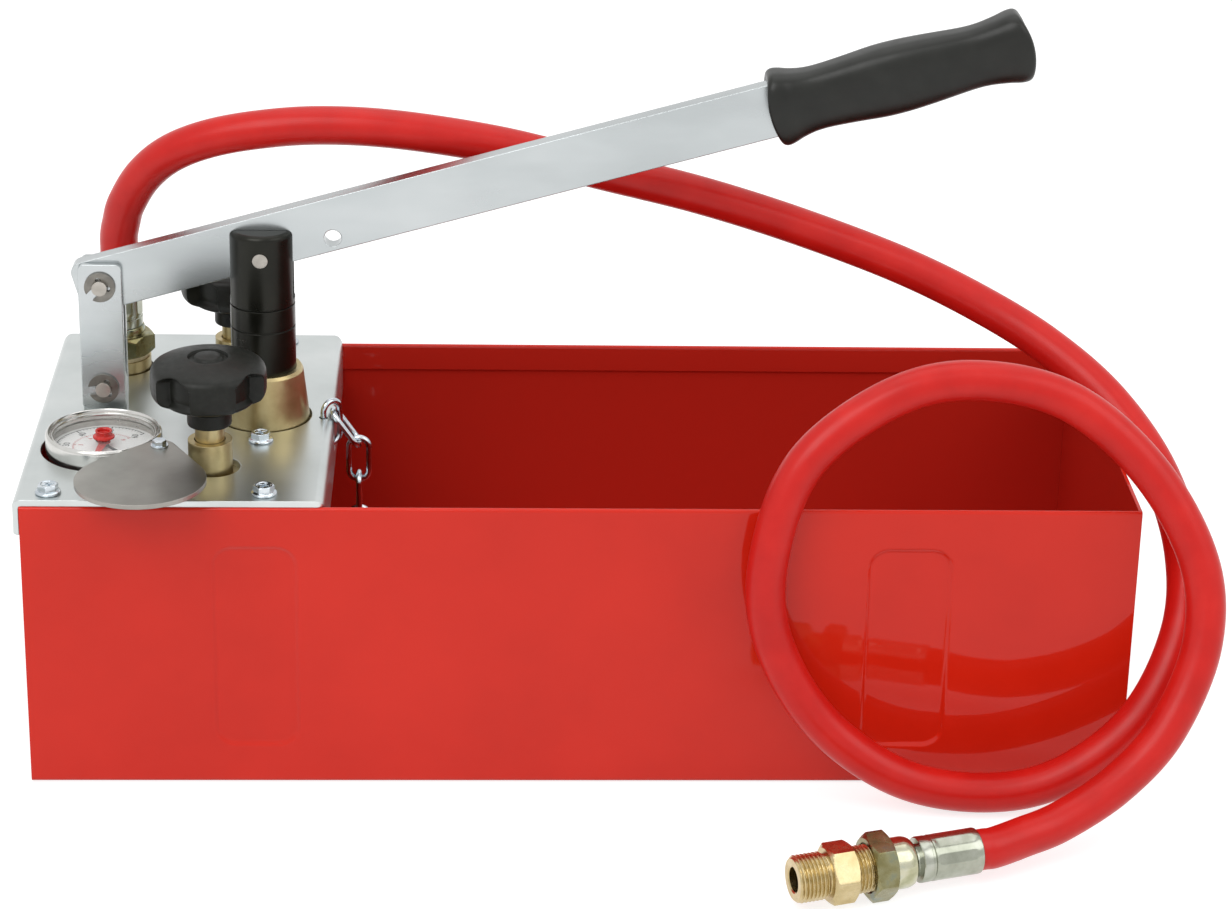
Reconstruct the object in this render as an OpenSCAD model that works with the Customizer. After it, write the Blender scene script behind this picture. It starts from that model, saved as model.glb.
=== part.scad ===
// Hydrostatic test pump: an open sheet-steel tank with a hand-lever plunger pump and a pressure hose.
// The origin is the centre of the tank's underside, +X runs along the tank away from the pump,
// +Y to the back, +Z up. All sizes are in millimetres.

/* [Tank] */
// Outside length of the tank
tank_len = 500; // [480:1:540]
// Outside width of the tank
tank_w = 202; // [196:1:220]
// Height of the tank's rim above the ground
tank_h = 137; // [132:1:160]
// Thickness of the tank's sheet
tank_sheet = 1.5; // [1.2:0.1:2]
// Height of the hem folded inwards along the long walls
hem_h = 13; // [8:1:18]
// Outside radius of the folds along the ground
fold_r = 2.2; // [2.2:0.2:5]
// Width of the pressed panels in the front wall
panel_w = 37; // [25:1:60]
// Height of the pressed panels
panel_h = 98; // [60:1:108]
// Distance of the pressed panels from the middle of the tank
panel_x = 147; // [110:1:170]
// Depth of the pressed panels
panel_depth = 0.6; // [0.3:0.1:1]
// Corner radius of the pressed panels
panel_r = 9; // [4:1:12]

/* [Cover plate] */
// Length of the cover plate
plate_len = 138; // [136:0.5:150]
// Thickness of the cover plate
plate_t = 3; // [2.5:0.1:4]
// Mean overhang of the plate past the long walls, less at the front and more at the back
plate_over = 0.5; // [0:0.5:3]
// Height of the flange outside the tank's end
end_flange_h = 17; // [8:1:20]
// Height of the flange inside the tank
inner_flange_h = 26; // [24:1:32]
// Inside radius of the plate's bends
bend_r = 1.5; // [0.5:0.5:3]
// Corner radius of the plate
plate_r = 4; // [3:0.5:8]
// Distance of the corner screws from the plate's edges
screw_edge = 8.5; // [7:0.5:10]
// Thread diameter of the corner and pump screws
screw_d = 5; // [4:0.5:6]
// Flange diameter of the screw heads
screw_flange_d = 12; // [10:0.5:13]
// Height of the screw heads
screw_head_h = 4.5; // [3:0.5:5]

/* [Pump] */
// Diameter of the plunger
plunger_d = 30; // [28:0.5:32]
// Radial clearance of the plunger in its barrel
plunger_fit = 0.06; // [0.02:0.01:0.1]
// Height of the barrel's neck above the plate
neck_h = 25; // [18:1:30]
// Diameter of the neck at its top
neck_top_d = 36.5; // [36:0.5:40]
// Diameter of the barrel, also of the neck at the plate
barrel_d = 42; // [41:0.5:46]
// Distance of the two pump screws from the plunger's axis
pump_screw_y = 31; // [30:0.5:34]
// Height of the strainer's foot above the tank's floor
strainer_gap = 2.5; // [1.5:0.5:6]
// Height of the strainer
strainer_h = 14; // [12:1:20]

/* [Lever] */
// Distance of the link from the plate's left edge
link_inset = 31.8; // [30:0.1:34]
// Height of the link's lower pin above the plate
link_foot = 16; // [15:0.5:20]
// Distance between the link's pins
link_len = 50; // [46:1:54]
// Width of the link straps
strap_w = 20; // [18:0.5:21]
// Thickness of the link straps
strap_t = 3; // [2.5:0.1:4]
// Diameter of the three pins
pin_d = 7; // [6.5:0.5:8.5]
// Height of the lever bar's section
bar_h = 25; // [24:0.5:28]
// Thickness of the lever bar
bar_t = 8; // [6:0.5:10]
// Length of the lever from its pivot to the end of the grip
lever_len = 437.5; // [410:0.5:450]
// Length of the grip
grip_len = 118; // [105:1:140]
// Distance along the bar from the pivot to the plunger's pin
bar_reach = 75.3; // [74:0.1:78]
// Distance of the plunger's pin below the bar's middle line
pin_drop = 5; // [4:0.5:5.5]
// Distance along the bar from the pivot to the hole for the chain
chain_hole_at = 109; // [105:0.5:120]
// Diameter of the hole for the chain
chain_hole_d = 8; // [6:0.5:9]
// Distance of the chain hole under the bar's middle line
chain_hole_drop = 6.4; // [5:0.1:7]
// Rise of the bar at rest, in degrees
lever_rise = 15.75; // [14:0.25:17]

/* [Valves] */
// Distance of the front valve in front of the middle plane
front_valve_y = 61.5; // [60:0.5:63]
// Distance of the rear valve behind the middle plane
rear_valve_y = 66.5; // [65:0.5:67.5]
// Distance of the front valve from the plunger's axis, towards the link
front_valve_lead = 20.7; // [18:0.1:23]
// Distance of the rear valve from the plunger's axis, towards the link
rear_valve_lead = 17.8; // [16:0.1:20]
// Diameter of the valve necks
valve_neck_d = 20; // [19:0.5:22]
// Height of the valve necks above the plate
valve_neck_h = 13.7; // [10:0.1:15]
// Diameter of the spindles
spindle_d = 13.3; // [12:0.1:14]
// Radial clearance of the spindles
spindle_fit = 0.35; // [0.3:0.05:0.5]
// Length of spindle that shows at rest
spindle_gap = 7.6; // [5:0.1:9]
// Diameter of the knobs
knob_d = 52; // [48:1:54]
// Height of the knobs above their collars
knob_h = 26; // [24:1:30]

/* [Gauge] */
// Distance of the gauge from the plate's left edge
gauge_inset = 34.8; // [33.5:0.1:36]
// Distance of the gauge in front of the middle plane
gauge_y = 39.5; // [39:0.5:42]
// Diameter of the gauge's bezel
bezel_d = 53; // [51:0.5:55]
// Height of the bezel above the plate
bezel_rise = 8.5; // [7:0.5:9]
// Distance of the cover's pivot from the plate's left edge
cover_inset = 62.4; // [61:0.1:64]
// Distance of the cover's pivot in front of the middle plane
cover_y = 64; // [62:0.5:66]
// Radius of the gauge cover's disc
cover_r = 29; // [28:0.5:30]
// Radius of the gauge cover's ear
cover_ear_r = 7; // [6:0.5:8]
// Thickness of the gauge cover
cover_t = 2; // [1.5:0.1:3]
// Direction in which the open cover points, in degrees
cover_open = 262; // [255:1:270]

/* [Hose] */
// Outside diameter of the hose
hose_d = 18; // [16:0.5:19]
// Distance of the outlet from the plate's left edge
outlet_inset = 33.6; // [32:0.1:36]
// Distance of the outlet behind the middle plane
outlet_y = 61; // [59:0.5:62]
// Direction of the free end's fittings, in degrees
end_angle = 197; // [195:1:200]
// Diameter of the free end's pipe thread
thread_d = 20.955; // [20:0.005:22]
// Length of the free end's pipe thread
thread_len = 15; // [12:1:18]
// Bore of the adapter
adapter_bore = 11; // [9:0.5:12]

/* [Chain] */
// Wire diameter of the chain
chain_wire = 2.9; // [2.6:0.1:3]
// Outside length of a link
chain_link_len = 24; // [23:0.5:25]
// Outside width of a link
chain_link_w = 12.4; // [12:0.1:13]
// Number of hanging links
chain_links = 5; // [4:1:6]

/* [Hidden] */
$fn = 64;

// Clearance between pieces that move past each other
gap = 0.3;
// Clearance of a pin in the piece that turns on it
pin_fit = 0.05;
// Clearance of a piece that is screwed or pushed into another
seat = 0.1;

// Colours as they show
tank_red = [0.76, 0.16, 0.13];
hose_red = [0.72, 0.11, 0.10];
zinc = [0.78, 0.80, 0.79];
steel = [0.60, 0.59, 0.56];
brass = [0.68, 0.56, 0.34];
yellow_zinc = [0.55, 0.52, 0.32];
black = [0.13, 0.13, 0.12];
rubber_black = [0.08, 0.08, 0.08];

// Heights and the plate's own frame
plate_top = tank_h + plate_t;
plate_left = -tank_len / 2 - gap - plate_t;
plate_right = plate_left + plate_len;
plate_w = tank_w + 2 * plate_over;
plate_mid = 1.5;
plate_front = plate_mid - plate_w / 2;
plate_back = plate_mid + plate_w / 2;
hem_inside = tank_w / 2 - 2 * tank_sheet;
// Length of plate for which the distances along it are given; on another plate they keep their share
layout_len = 138;
layout = plate_len / layout_len;

// Lever linkage: the link stands upright at rest
link_x = plate_left + link_inset * layout;
pin_reach = bar_reach * layout;
lower_pin_z = plate_top + link_foot;
upper_pin_z = lower_pin_z + link_len;
plunger_x = link_x + pin_reach * cos(lever_rise) + pin_drop * sin(lever_rise);
plunger_pin_z = upper_pin_z + pin_reach * sin(lever_rise) - pin_drop * cos(lever_rise);
strap_in = bar_t / 2 + gap;
strap_out = strap_in + strap_t;
clip_t = 1.2;
clip_d = 14.2;
pin_neck_d = pin_d - 1.8;
pin_end = 2;
strap_end = 10.6;
// The plunger's pin has play in the bar, because the linkage closes there
pin_play_along = 3.7;
pin_play_radius = 1.1;
pin_play_up = 0.2;

// Plunger: travel down and up from rest, and what it clears
stroke_down = 19.5;
stroke_up = 28.5;
head_over_pin = 11.4;
head_under_pin = 25;
slot_under_pin = 22;
plunger_bottom_room = 3;

// Pump body under the plate
body_top = tank_h;
flange_t = 8;
cap_hex_h = 8;
cap_in = 10;
barrel_bottom = tank_sheet + strainer_gap + strainer_h + cap_hex_h;
cap_thread_r = 12;
barrel_floor = barrel_bottom + cap_in;
plunger_bottom = barrel_floor + stroke_down + plunger_bottom_room;
front_valve = [plunger_x - front_valve_lead * layout, -front_valve_y];
rear_valve = [plunger_x - rear_valve_lead * layout, rear_valve_y];
function valve_at(side) = side < 0 ? front_valve : rear_valve;
outlet_x = plate_left + outlet_inset * layout;
gauge_x = plate_left + gauge_inset * layout;
gallery_z = body_top - 27;
gallery_r = 9;
gallery_bore_r = 3;
gauge_gallery_z = gallery_z - 9;
sump = 4;
gauge_gallery_r = 5.5;
tower_r = 14;
tower_bottom = body_top - 44;
rear_tower_bottom = body_top - 57;
valve_seat_z = body_top - 25;
disc_t = 4;
valve_close = 3;
disc_z = valve_seat_z + valve_close + seat;
spindle_bottom = disc_z + disc_t + pin_fit;
neck_clear = 1;
// Play by which the plate's holes for the valve necks and the gauge stand aside
hole_shift = 1.2;
outlet_neck_r = 13.5;
outlet_rise = 5.8;

// Check valves: a ball on a seat under a light spring
ball_travel = 2;
suction_ball_r = 5;
suction_seat_r = 4;
suction_coil_r = 3.8;
suction_seat_z = barrel_floor - 14;
suction_ball_z = suction_seat_z + sqrt(pow(suction_ball_r, 2) - pow(suction_seat_r, 2)) + pin_fit;
delivery_ball_r = 4;
delivery_seat_r = 3;
delivery_coil_r = 3;
delivery_seat_z = rear_tower_bottom + 12;
delivery_ball_z = delivery_seat_z + sqrt(pow(delivery_ball_r, 2) - pow(delivery_seat_r, 2)) + pin_fit;
delivery_top = gallery_z - sump - 2;
delivery_bore_r = 6.5;
spring_wire = 0.8;
suction_lip = 2;
// Height of a coil's first turn over the middle of the ball that it sits on
function coil_seat(ball, coil) =
    sqrt(pow(ball + spring_wire / 2 + pin_fit, 2) - pow(coil, 2)) - spring_wire / 2;

// Gauge, from the dial up
bezel_top = plate_top + bezel_rise;
dial_z = plate_top - 0.3;
dial_t = 0.8;
lens_z = plate_top + 3.2;
lens_t = 1.2;
case_r = bezel_d / 2 - 1.4;
case_wall = 0.8;
case_bottom = plate_top - 26;
stem_r = 6.4;
stem_bottom = gallery_z - 14;
gauge_boss_r = 11;
pointer_shaft_r = 1;
marker_shaft_r = 1.5;
cover_z = bezel_top + 0.5;
cover_x = plate_left + cover_inset * layout;
cover_arm = norm([cover_x - gauge_x, gauge_y - cover_y]);
cover_screw_r = 2;

// Knob and outlet stack
collar_z = plate_top + valve_neck_h + spindle_gap;
collar_h = 7;
collar_r = 10;
knob_z = collar_z + collar_h;
washer_t = 2;
outlet_nut_h = 14;
outlet_nut_af = 27;
outlet_nut_z = plate_top + outlet_rise + washer_t;
outlet_ferrule_z = outlet_nut_z + outlet_nut_h;
hose_bore_r = 5;
ferrule_r = hose_d / 2 + 1.2;
ferrule_len = 31;
hose_start_z = outlet_ferrule_z + ferrule_len;

// Hose: hand-picked points along its middle line, with a straight stretch at each ferrule
nut_af = 27;
end_way = [cos(end_angle), sin(end_angle), 0];
// The nut rests on one corner, turned a little from its flat
nut_turn = 8;
end_point = [170.5, -188.7, nut_af / 2 / cos(30) * cos(30 - nut_turn)];
hose_points = [
    [-219.5, 60.2, 207], [-218, 58, 214.5], [-214.7, 54, 225.5], [-205.7, 48, 241.3], [-192, 41, 254.7],
    [-172.8, 36, 264], [-148, 32, 270], [-120, 31, 272.4], [-85, 31, 270.6], [-37.5, 33, 262.6],
    [9.5, 35, 250.2], [56.5, 37, 237.8], [104, 38, 222.3], [153.6, 34, 204.4], [192.2, 24, 188],
    [222.7, 8, 173], [248.5, -14, 155.3], [268, -42, 132], [276.6, -72, 105], [272.5, -98, 76],
    [252, -118, 42], [218, -128, 18], [182, -129, 10], [142, -126, 17], [106, -120, 43],
    [84, -115, 82], [82, -113, 122], [97, -105, 162], [133, -95, 188], [170, -90, 196],
    [214, -92, 187.3], [250.5, -103, 159], [273.6, -117, 120.7], [275.3, -131, 86], [259.5, -146, 51.5],
    [237, -158.5, 31], [211, -170, 18.6], [192, -178.8, 15.2]];
hose_route = concat(
    [for (rise = [0, 4, 8]) [outlet_x, outlet_y, hose_start_z + rise]],
    hose_points,
    [end_point - 9 * end_way, end_point - 4 * end_way, end_point]);
hose_sides = 12;
hose_steps = 2;

// Free end, along its own axis from the hose
end_ferrule_len = 28.5;
end_neck_len = 2;
nut_collar_len = 11;
nut_hex_len = 10.5;
adapter_neck_len = 7;
adapter_hex_len = 12;
adapter_af = 24;

// Chain: a ring stands through the plate and its flange, and the links hang from it
chain_bend_r = (chain_link_w - chain_wire) / 2;
chain_straight = (chain_link_len - chain_link_w) / 2;
chain_pitch = chain_link_len - 2 * chain_wire - gap;
chain_apex = (chain_link_len - chain_wire) / 2;
ring_turn = 40;
ring_clear = 0.4;
body_flange_r = plate_right - plunger_x - plate_t - chain_wire - ring_clear - gap;
ring_rise = 8.5;
ring_aside = chain_bend_r * cos(ring_turn);
ring_back = chain_bend_r * sin(ring_turn);
ring_x = plate_right - plate_t - chain_wire / 2 - ring_clear + ring_aside;
ring_z = plate_top + ring_rise - chain_link_len / 2;
ring_hole_r = chain_wire / 2 + 0.7;
ring_slot_r = chain_wire / 2 + 2.4;
// Place where the first link hooks round the ring, and the way it leans
chain_lean = 35;
hook_x = ring_x + ring_aside - chain_wire - gap;
hook_z = plate_top + 1.2;

// Rounded rectangle about the origin
module rounded(w, h, r) {
    square([w - 2 * r, h], center = true);
    square([w, h - 2 * r], center = true);
    for (sx = [-1, 1], sy = [-1, 1])
        translate([sx * (w / 2 - r), sy * (h / 2 - r)]) circle(r);
}

// Bar of one width between two plan points
module bar2d(a, b, w) {
    translate(a) rotate(atan2(b[1] - a[1], b[0] - a[0])) translate([0, -w / 2])
        square([norm(b - a), w]);
}

// Level round bar between two plan points
module level_rod(a, b, z, r) {
    translate([a[0], a[1], z]) rotate([0, 90, atan2(b[1] - a[1], b[0] - a[0])])
        cylinder(r = r, h = norm(b - a));
}

// Level bore between two plan points, run on a little past both
module water_way(a, b, z) {
    past = unit(b - a) * gallery_bore_r / 2;
    level_rod(a - past, b + past, z, gallery_bore_r);
}

// Upright round bar at a plan point
module post(p, z0, z1, r) {
    translate([p[0], p[1], z0]) cylinder(r = r, h = z1 - z0);
}

// Hexagon prism with its flats a given distance apart
module hex(af, h) {
    cylinder(d = af / cos(30), h = h, $fn = 6);
}

// A shape in the lever's own frame: x along the bar from the pivot, z across it
module on_lever() {
    translate([link_x, 0, upper_pin_z]) rotate([0, -lever_rise, 0]) children();
}

// A shape on the axis of the front or the rear valve
module on_valve(side, z) {
    translate([valve_at(side)[0], valve_at(side)[1], z]) children();
}

// A shape on the free end's axis, with z along it from the hose
module on_free_end() {
    translate(end_point) rotate([0, 90, end_angle]) children();
}

// Points of a round tube along a path, and the tube itself
function unit(v) = v / norm(v);
function tangent(path, i) = unit(path[min(i + 1, len(path) - 1)] - path[max(i - 1, 0)]);
function ring_at(path, i, r, sides, aside) =
    let (t = tangent(path, i), n = unit(cross(t, aside)), b = cross(t, n))
    [for (k = [0 : sides - 1]) path[i] + r * (cos(360 * k / sides) * n + sin(360 * k / sides) * b)];
module tube_along(path, r, sides, aside) {
    count = len(path);
    points = [for (i = [0 : count - 1]) each ring_at(path, i, r, sides, aside)];
    walls = [for (i = [0 : count - 2], k = [0 : sides - 1])
        let (a = i * sides + k, b = i * sides + (k + 1) % sides)
        each [[a, a + sides, b], [b, a + sides, b + sides]]];
    caps = [for (k = [1 : sides - 2])
        each [[0, k, k + 1], [(count - 1) * sides, (count - 1) * sides + k + 1, (count - 1) * sides + k]]];
    polyhedron(points, concat(walls, caps));
}

// A smooth curve through hand-picked points, with some steps between each pair
function curve_point(p, i, t) =
    let (a = p[max(i - 1, 0)], b = p[i], c = p[i + 1], d = p[min(i + 2, len(p) - 1)])
    0.5 * (2 * b + (c - a) * t + (2 * a - 5 * b + 4 * c - d) * t * t + (3 * b - a - 3 * c + d) * t * t * t);
function curve(p, steps) = concat(
    [for (i = [0 : len(p) - 2], k = [0 : steps - 1]) curve_point(p, i, k / steps)],
    [p[len(p) - 1]]);

// Coil spring standing on z = 0
module coil(r, wire, h, turns) {
    rings = 12;
    path = [for (i = [0 : turns * rings])
        [r * cos(360 * i / rings), r * sin(360 * i / rings), wire / 2 + (h - wire) * i / (turns * rings)]];
    tube_along(path, wire / 2, 6, [0, 0, 1]);
}

// Front, floor and back of the tank, folded from one sheet with hems along the top
module tank_profile() {
    difference() {
        union() {
            translate([-tank_w / 2, fold_r]) square([tank_w, tank_h - fold_r]);
            translate([-tank_w / 2 + fold_r, 0]) square([tank_w - 2 * fold_r, fold_r]);
            for (s = [-1, 1]) translate([s * (tank_w / 2 - fold_r), fold_r]) circle(fold_r);
        }
        inside = tank_w / 2 - tank_sheet;
        inner_r = fold_r - tank_sheet;
        translate([-inside, fold_r]) square([2 * inside, tank_h]);
        translate([-inside + inner_r, tank_sheet]) square([2 * (inside - inner_r), fold_r]);
        for (s = [-1, 1]) translate([s * (inside - inner_r), fold_r]) circle(inner_r);
    }
}
module pressed_panel(depth) {
    rotate([90, 0, 0]) linear_extrude(depth) rounded(panel_w, panel_h, panel_r);
}
module tank_shell() color(tank_red) {
    hem_len = tank_len - 2 * (tank_sheet + seat);
    hem_t = 1.5 * tank_sheet;
    panel_z = tank_h / 2;
    difference() {
        union() {
            rotate([90, 0, 90]) translate([0, 0, -tank_len / 2]) linear_extrude(tank_len) tank_profile();
            for (s = [-1, 1])
                translate([-hem_len / 2, s > 0 ? hem_inside : -hem_inside - hem_t, tank_h - hem_h])
                    cube([hem_len, hem_t, hem_h]);
            for (s = [-1, 1])
                translate([s * panel_x, -tank_w / 2 + tank_sheet + panel_depth, panel_z])
                    pressed_panel(panel_depth + tank_sheet / 2);
        }
        for (s = [-1, 1])
            translate([s * panel_x, -tank_w / 2 + panel_depth, panel_z]) pressed_panel(2 * panel_depth);
    }
}

// End walls welded between the long walls
module tank_end(side) color(tank_red) {
    inside = tank_w - 2 * tank_sheet;
    // the left wall stays below the bend of the cover plate
    top = side > 0 ? tank_h : tank_h - bend_r;
    translate([side > 0 ? tank_len / 2 - tank_sheet : -tank_len / 2, 0, 0]) rotate([90, 0, 90])
        linear_extrude(tank_sheet) {
            translate([-inside / 2, fold_r]) square([inside, top - fold_r]);
            translate([-inside / 2 + fold_r, tank_sheet]) square([inside - 2 * fold_r, fold_r]);
        }
}
module tank_end_left() tank_end(-1);
module tank_end_right() tank_end(1);

// Places of the four corner screws and the two pump screws
screw_left = plate_left + plate_t + screw_edge + 4;
screw_right = plunger_x + 5.1;
screw_rows = [plate_front + screw_edge, plate_back - screw_edge - 1];
corner_screws = [for (x = [screw_left, screw_right], y = screw_rows) [x, y]];
pump_screw_points = [for (s = [-1, 1]) [plunger_x, s * pump_screw_y]];
screw_len = 14;
tab_t = 4;
tab_w = 20;

// Tabs inside the long walls that take the corner screws
module plate_tabs() color(tank_red) for (p = corner_screws) {
    reach = 16;
    translate([p[0], 0, tank_h - tab_t]) difference() {
        translate([-tab_w / 2, p[1] > 0 ? hem_inside - reach : -hem_inside, 0]) cube([tab_w, reach, tab_t]);
        translate([0, p[1], -1]) cylinder(d = screw_d + 2 * seat, h = tab_t + 2);
    }
}

// Cover plate with a flange outside the tank's end and one inside the tank
module plate_profile() {
    outer_r = bend_r + plate_t;
    translate([plate_left + outer_r, tank_h]) square([plate_len - 2 * outer_r, plate_t]);
    for (s = [-1, 1]) {
        edge = s < 0 ? plate_left : plate_right;
        drop = s < 0 ? end_flange_h : inner_flange_h;
        intersection() {
            translate([edge - s * outer_r, plate_top - outer_r]) difference() {
                circle(outer_r);
                circle(bend_r);
            }
            translate([s < 0 ? edge : edge - outer_r, plate_top - outer_r]) square(outer_r);
        }
        translate([s < 0 ? edge : edge - plate_t, plate_top - drop]) square([plate_t, drop - outer_r]);
    }
}
module plate_corner_cut(x, y) {
    translate([x, y, 0]) difference() {
        translate([x < 0 && x < (plate_left + plate_right) / 2 ? -1 : -plate_r, y > 0 ? -plate_r : -1, 0])
            cube([plate_r + 1, plate_r + 1, plate_top + 1]);
        translate([x < (plate_left + plate_right) / 2 ? plate_r : -plate_r, y > 0 ? -plate_r : plate_r, -1])
            cylinder(r = plate_r, h = plate_top + 3);
    }
}
module cover_plate() color(zinc) {
    flange_w = 2 * hem_inside - 2 * gap;
    side_cut = plate_w / 2 + 4 - flange_w / 2;
    lug_w = strap_w + 2 * neck_clear;
    difference() {
        rotate([90, 0, 0]) translate([0, 0, -plate_back]) linear_extrude(plate_w) plate_profile();
        for (x = [plate_left, plate_right], y = [plate_front, plate_back]) plate_corner_cut(x, y);
        // the inner flange passes between the hems
        for (y = [flange_w / 2, -flange_w / 2 - side_cut])
            translate([plate_right - bend_r - plate_t - gap, y, 0])
                cube([bend_r + plate_t + 1, side_cut, tank_h]);
        post([plunger_x, 0], tank_h - 1, plate_top + 1, barrel_d / 2 + neck_clear);
        for (s = [-1, 1])
            post(valve_at(s) + [hole_shift, 0], tank_h - 1, plate_top + 1,
                valve_neck_d / 2 + neck_clear + hole_shift);
        post([gauge_x - hole_shift / 2, -gauge_y - hole_shift / 2], tank_h - 1, plate_top + 1,
            bezel_d / 2 + neck_clear + hole_shift / 2);
        post([outlet_x, outlet_y], tank_h - 1, plate_top + 1, outlet_neck_r + neck_clear);
        translate([link_x - lug_w / 2, -strap_in, tank_h - 1]) cube([lug_w, 2 * strap_in, plate_t + 2]);
        for (p = concat(corner_screws, pump_screw_points))
            post(p, tank_h - 1, plate_top + 1, screw_d / 2 + seat);
        post([cover_x, -cover_y], tank_h - 1, plate_top + 1, cover_screw_r + seat);
        // holes for the chain's ring, through the plate and through the flange
        post([ring_x - ring_aside, -ring_back], tank_h - 1, plate_top + 1, ring_hole_r);
        translate([plate_right - plate_t - 1, 0, ring_z - chain_apex])
            rotate([0, 90, 0]) cylinder(r = ring_slot_r, h = plate_t + 2);
    }
}

// Hexagon-flange screw standing on z = 0
module flange_screw() {
    flange_h = 1.4;
    difference() {
        union() {
            cylinder(d = screw_flange_d, h = flange_h);
            hex(screw_flange_d * 0.68, screw_head_h);
            translate([0, 0, -screw_len]) cylinder(d = screw_d, h = screw_len);
        }
        for (a = [0, 90]) rotate(a) translate([-2.2, -0.5, screw_head_h - 1.4]) cube([4.4, 1, 2]);
    }
}
module plate_screws() color(zinc) for (p = corner_screws)
    translate([p[0], p[1], plate_top]) flange_screw();
module pump_screws() color(zinc) for (p = pump_screw_points)
    translate([p[0], p[1], plate_top]) flange_screw();

// Brass pump body: barrel, two valve towers, outlet and gauge bosses, joined under the plate
module body_plan() {
    axis = [plunger_x, 0];
    circle_at(axis, body_flange_r);
    for (s = [-1, 1]) {
        circle_at([plunger_x, s * pump_screw_y], 8.5);
        circle_at(valve_at(s), tower_r + 1);
        bar2d(axis, [plunger_x, s * pump_screw_y], 15);
        bar2d(axis, valve_at(s), 20);
    }
}
module circle_at(p, r) {
    translate(p) circle(r);
}
module pump_body() color(brass) {
    axis = [plunger_x, 0];
    front = front_valve;
    rear = rear_valve;
    outlet = [outlet_x, outlet_y];
    gauge = [gauge_x, -gauge_y];
    rim_r = 1.5;
    bore_r = plunger_d / 2 + plunger_fit;
    spindle_bore_r = spindle_d / 2 + spindle_fit;
    difference() {
        union() {
            post(axis, barrel_bottom, plate_top, barrel_d / 2);
            translate([plunger_x, 0, plate_top])
                cylinder(r1 = barrel_d / 2, r2 = neck_top_d / 2, h = neck_h - rim_r);
            translate([plunger_x, 0, plate_top + neck_h - rim_r])
                cylinder(r1 = neck_top_d / 2, r2 = neck_top_d / 2 - rim_r * 0.6, h = rim_r);
            translate([0, 0, body_top - flange_t]) linear_extrude(flange_t) body_plan();
            post(front, tower_bottom, body_top, tower_r);
            post(rear, rear_tower_bottom, body_top, tower_r);
            for (p = [front, rear]) post(p, body_top - 1, plate_top + valve_neck_h, valve_neck_d / 2);
            post(outlet, gallery_z - gallery_r - 3, body_top, tower_r - 1);
            post(outlet, body_top - 1, plate_top + outlet_rise, outlet_neck_r);
            post(gauge, stem_bottom - 2, gallery_z, gauge_boss_r);
            level_rod(axis, front, gallery_z, gallery_r);
            level_rod(axis, rear, gallery_z, gallery_r);
            level_rod(rear, outlet, gallery_z, gallery_r);
            level_rod(front, gauge, gauge_gallery_z, gauge_gallery_r);
        }
        post(axis, barrel_floor, plate_top + neck_h + 1, bore_r);
        post(axis, barrel_bottom - 1, barrel_floor - suction_lip, cap_thread_r + seat);
        post(axis, barrel_bottom, barrel_floor + 1, suction_coil_r - spring_wire);
        for (p = [front, rear]) {
            post(p, valve_seat_z, plate_top + valve_neck_h + 1, spindle_bore_r);
            post(p, gallery_z - sump, valve_seat_z + 1, gallery_bore_r + 0.5);
        }
        post(rear, rear_tower_bottom - 1, delivery_top, delivery_bore_r + seat);
        post(rear, delivery_top - 1, gallery_z, delivery_coil_r - spring_wire);
        post(front, gauge_gallery_z - sump, gallery_z, gallery_bore_r + 0.5);
        post(outlet, gallery_z - sump, plate_top + outlet_rise + 1, hose_bore_r);
        post(gauge, stem_bottom, gallery_z + 1, stem_r + seat);
        water_way(axis, front, gallery_z);
        water_way(axis, rear, gallery_z);
        water_way(rear, outlet, gallery_z);
        water_way(front, gauge, gauge_gallery_z);
        for (p = pump_screw_points) post(p, plate_top - screw_len - 1, body_top + 1, screw_d / 2 + seat);
        for (z = seal_heights) translate([plunger_x, 0, z]) rotate_extrude()
            translate([bore_r + seal_r - plunger_fit, 0]) circle(seal_r + seat);
    }
}

// Two seal rings round the plunger, in grooves of the neck
seal_r = 1.4;
seal_heights = [plate_top + 8, plate_top + 15];
module gland_seals() color(rubber_black) for (z = seal_heights)
    translate([plunger_x, 0, z]) rotate_extrude()
        translate([plunger_d / 2 + plunger_fit + seal_r, 0]) circle(seal_r);

// Screwed cap under the barrel, with the suction valve's seat
module suction_cap() color(brass) translate([plunger_x, 0, 0]) difference() {
    spigot_r = strainer_r - strainer_wall - seat;
    union() {
        translate([0, 0, barrel_bottom]) cylinder(r = cap_thread_r, h = cap_in - suction_lip);
        translate([0, 0, barrel_bottom - cap_hex_h]) hex(34, cap_hex_h);
        translate([0, 0, barrel_bottom - cap_hex_h - 5]) cylinder(r = spigot_r, h = 5);
    }
    translate([0, 0, barrel_bottom - cap_hex_h - 6]) cylinder(r = suction_seat_r, h = cap_hex_h + cap_in + 8);
    translate([0, 0, suction_seat_z]) cylinder(r = suction_ball_r + 2, h = cap_in + 20);
}
module suction_ball() color(steel) translate([plunger_x, 0, suction_ball_z]) sphere(suction_ball_r);
module suction_spring() color(steel) {
    z = suction_ball_z + coil_seat(suction_ball_r, suction_coil_r);
    top = barrel_floor - suction_lip - pin_fit;
    translate([plunger_x, 0, z]) coil(suction_coil_r, spring_wire, top - z, 3);
}

// Strainer cup round the cap's spigot
strainer_r = 15;
strainer_wall = 1.5;
module strainer() color(brass) translate([plunger_x, 0, tank_sheet + strainer_gap]) difference() {
    cylinder(r = strainer_r, h = strainer_h);
    translate([0, 0, strainer_wall]) cylinder(r = strainer_r - strainer_wall, h = strainer_h);
    for (a = [0 : 30 : 330]) rotate(a) translate([strainer_r - 2 * strainer_wall, 0, 5.5]) rotate([0, 90, 0])
        cylinder(d = 3.6, h = 3 * strainer_wall);
}

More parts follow.
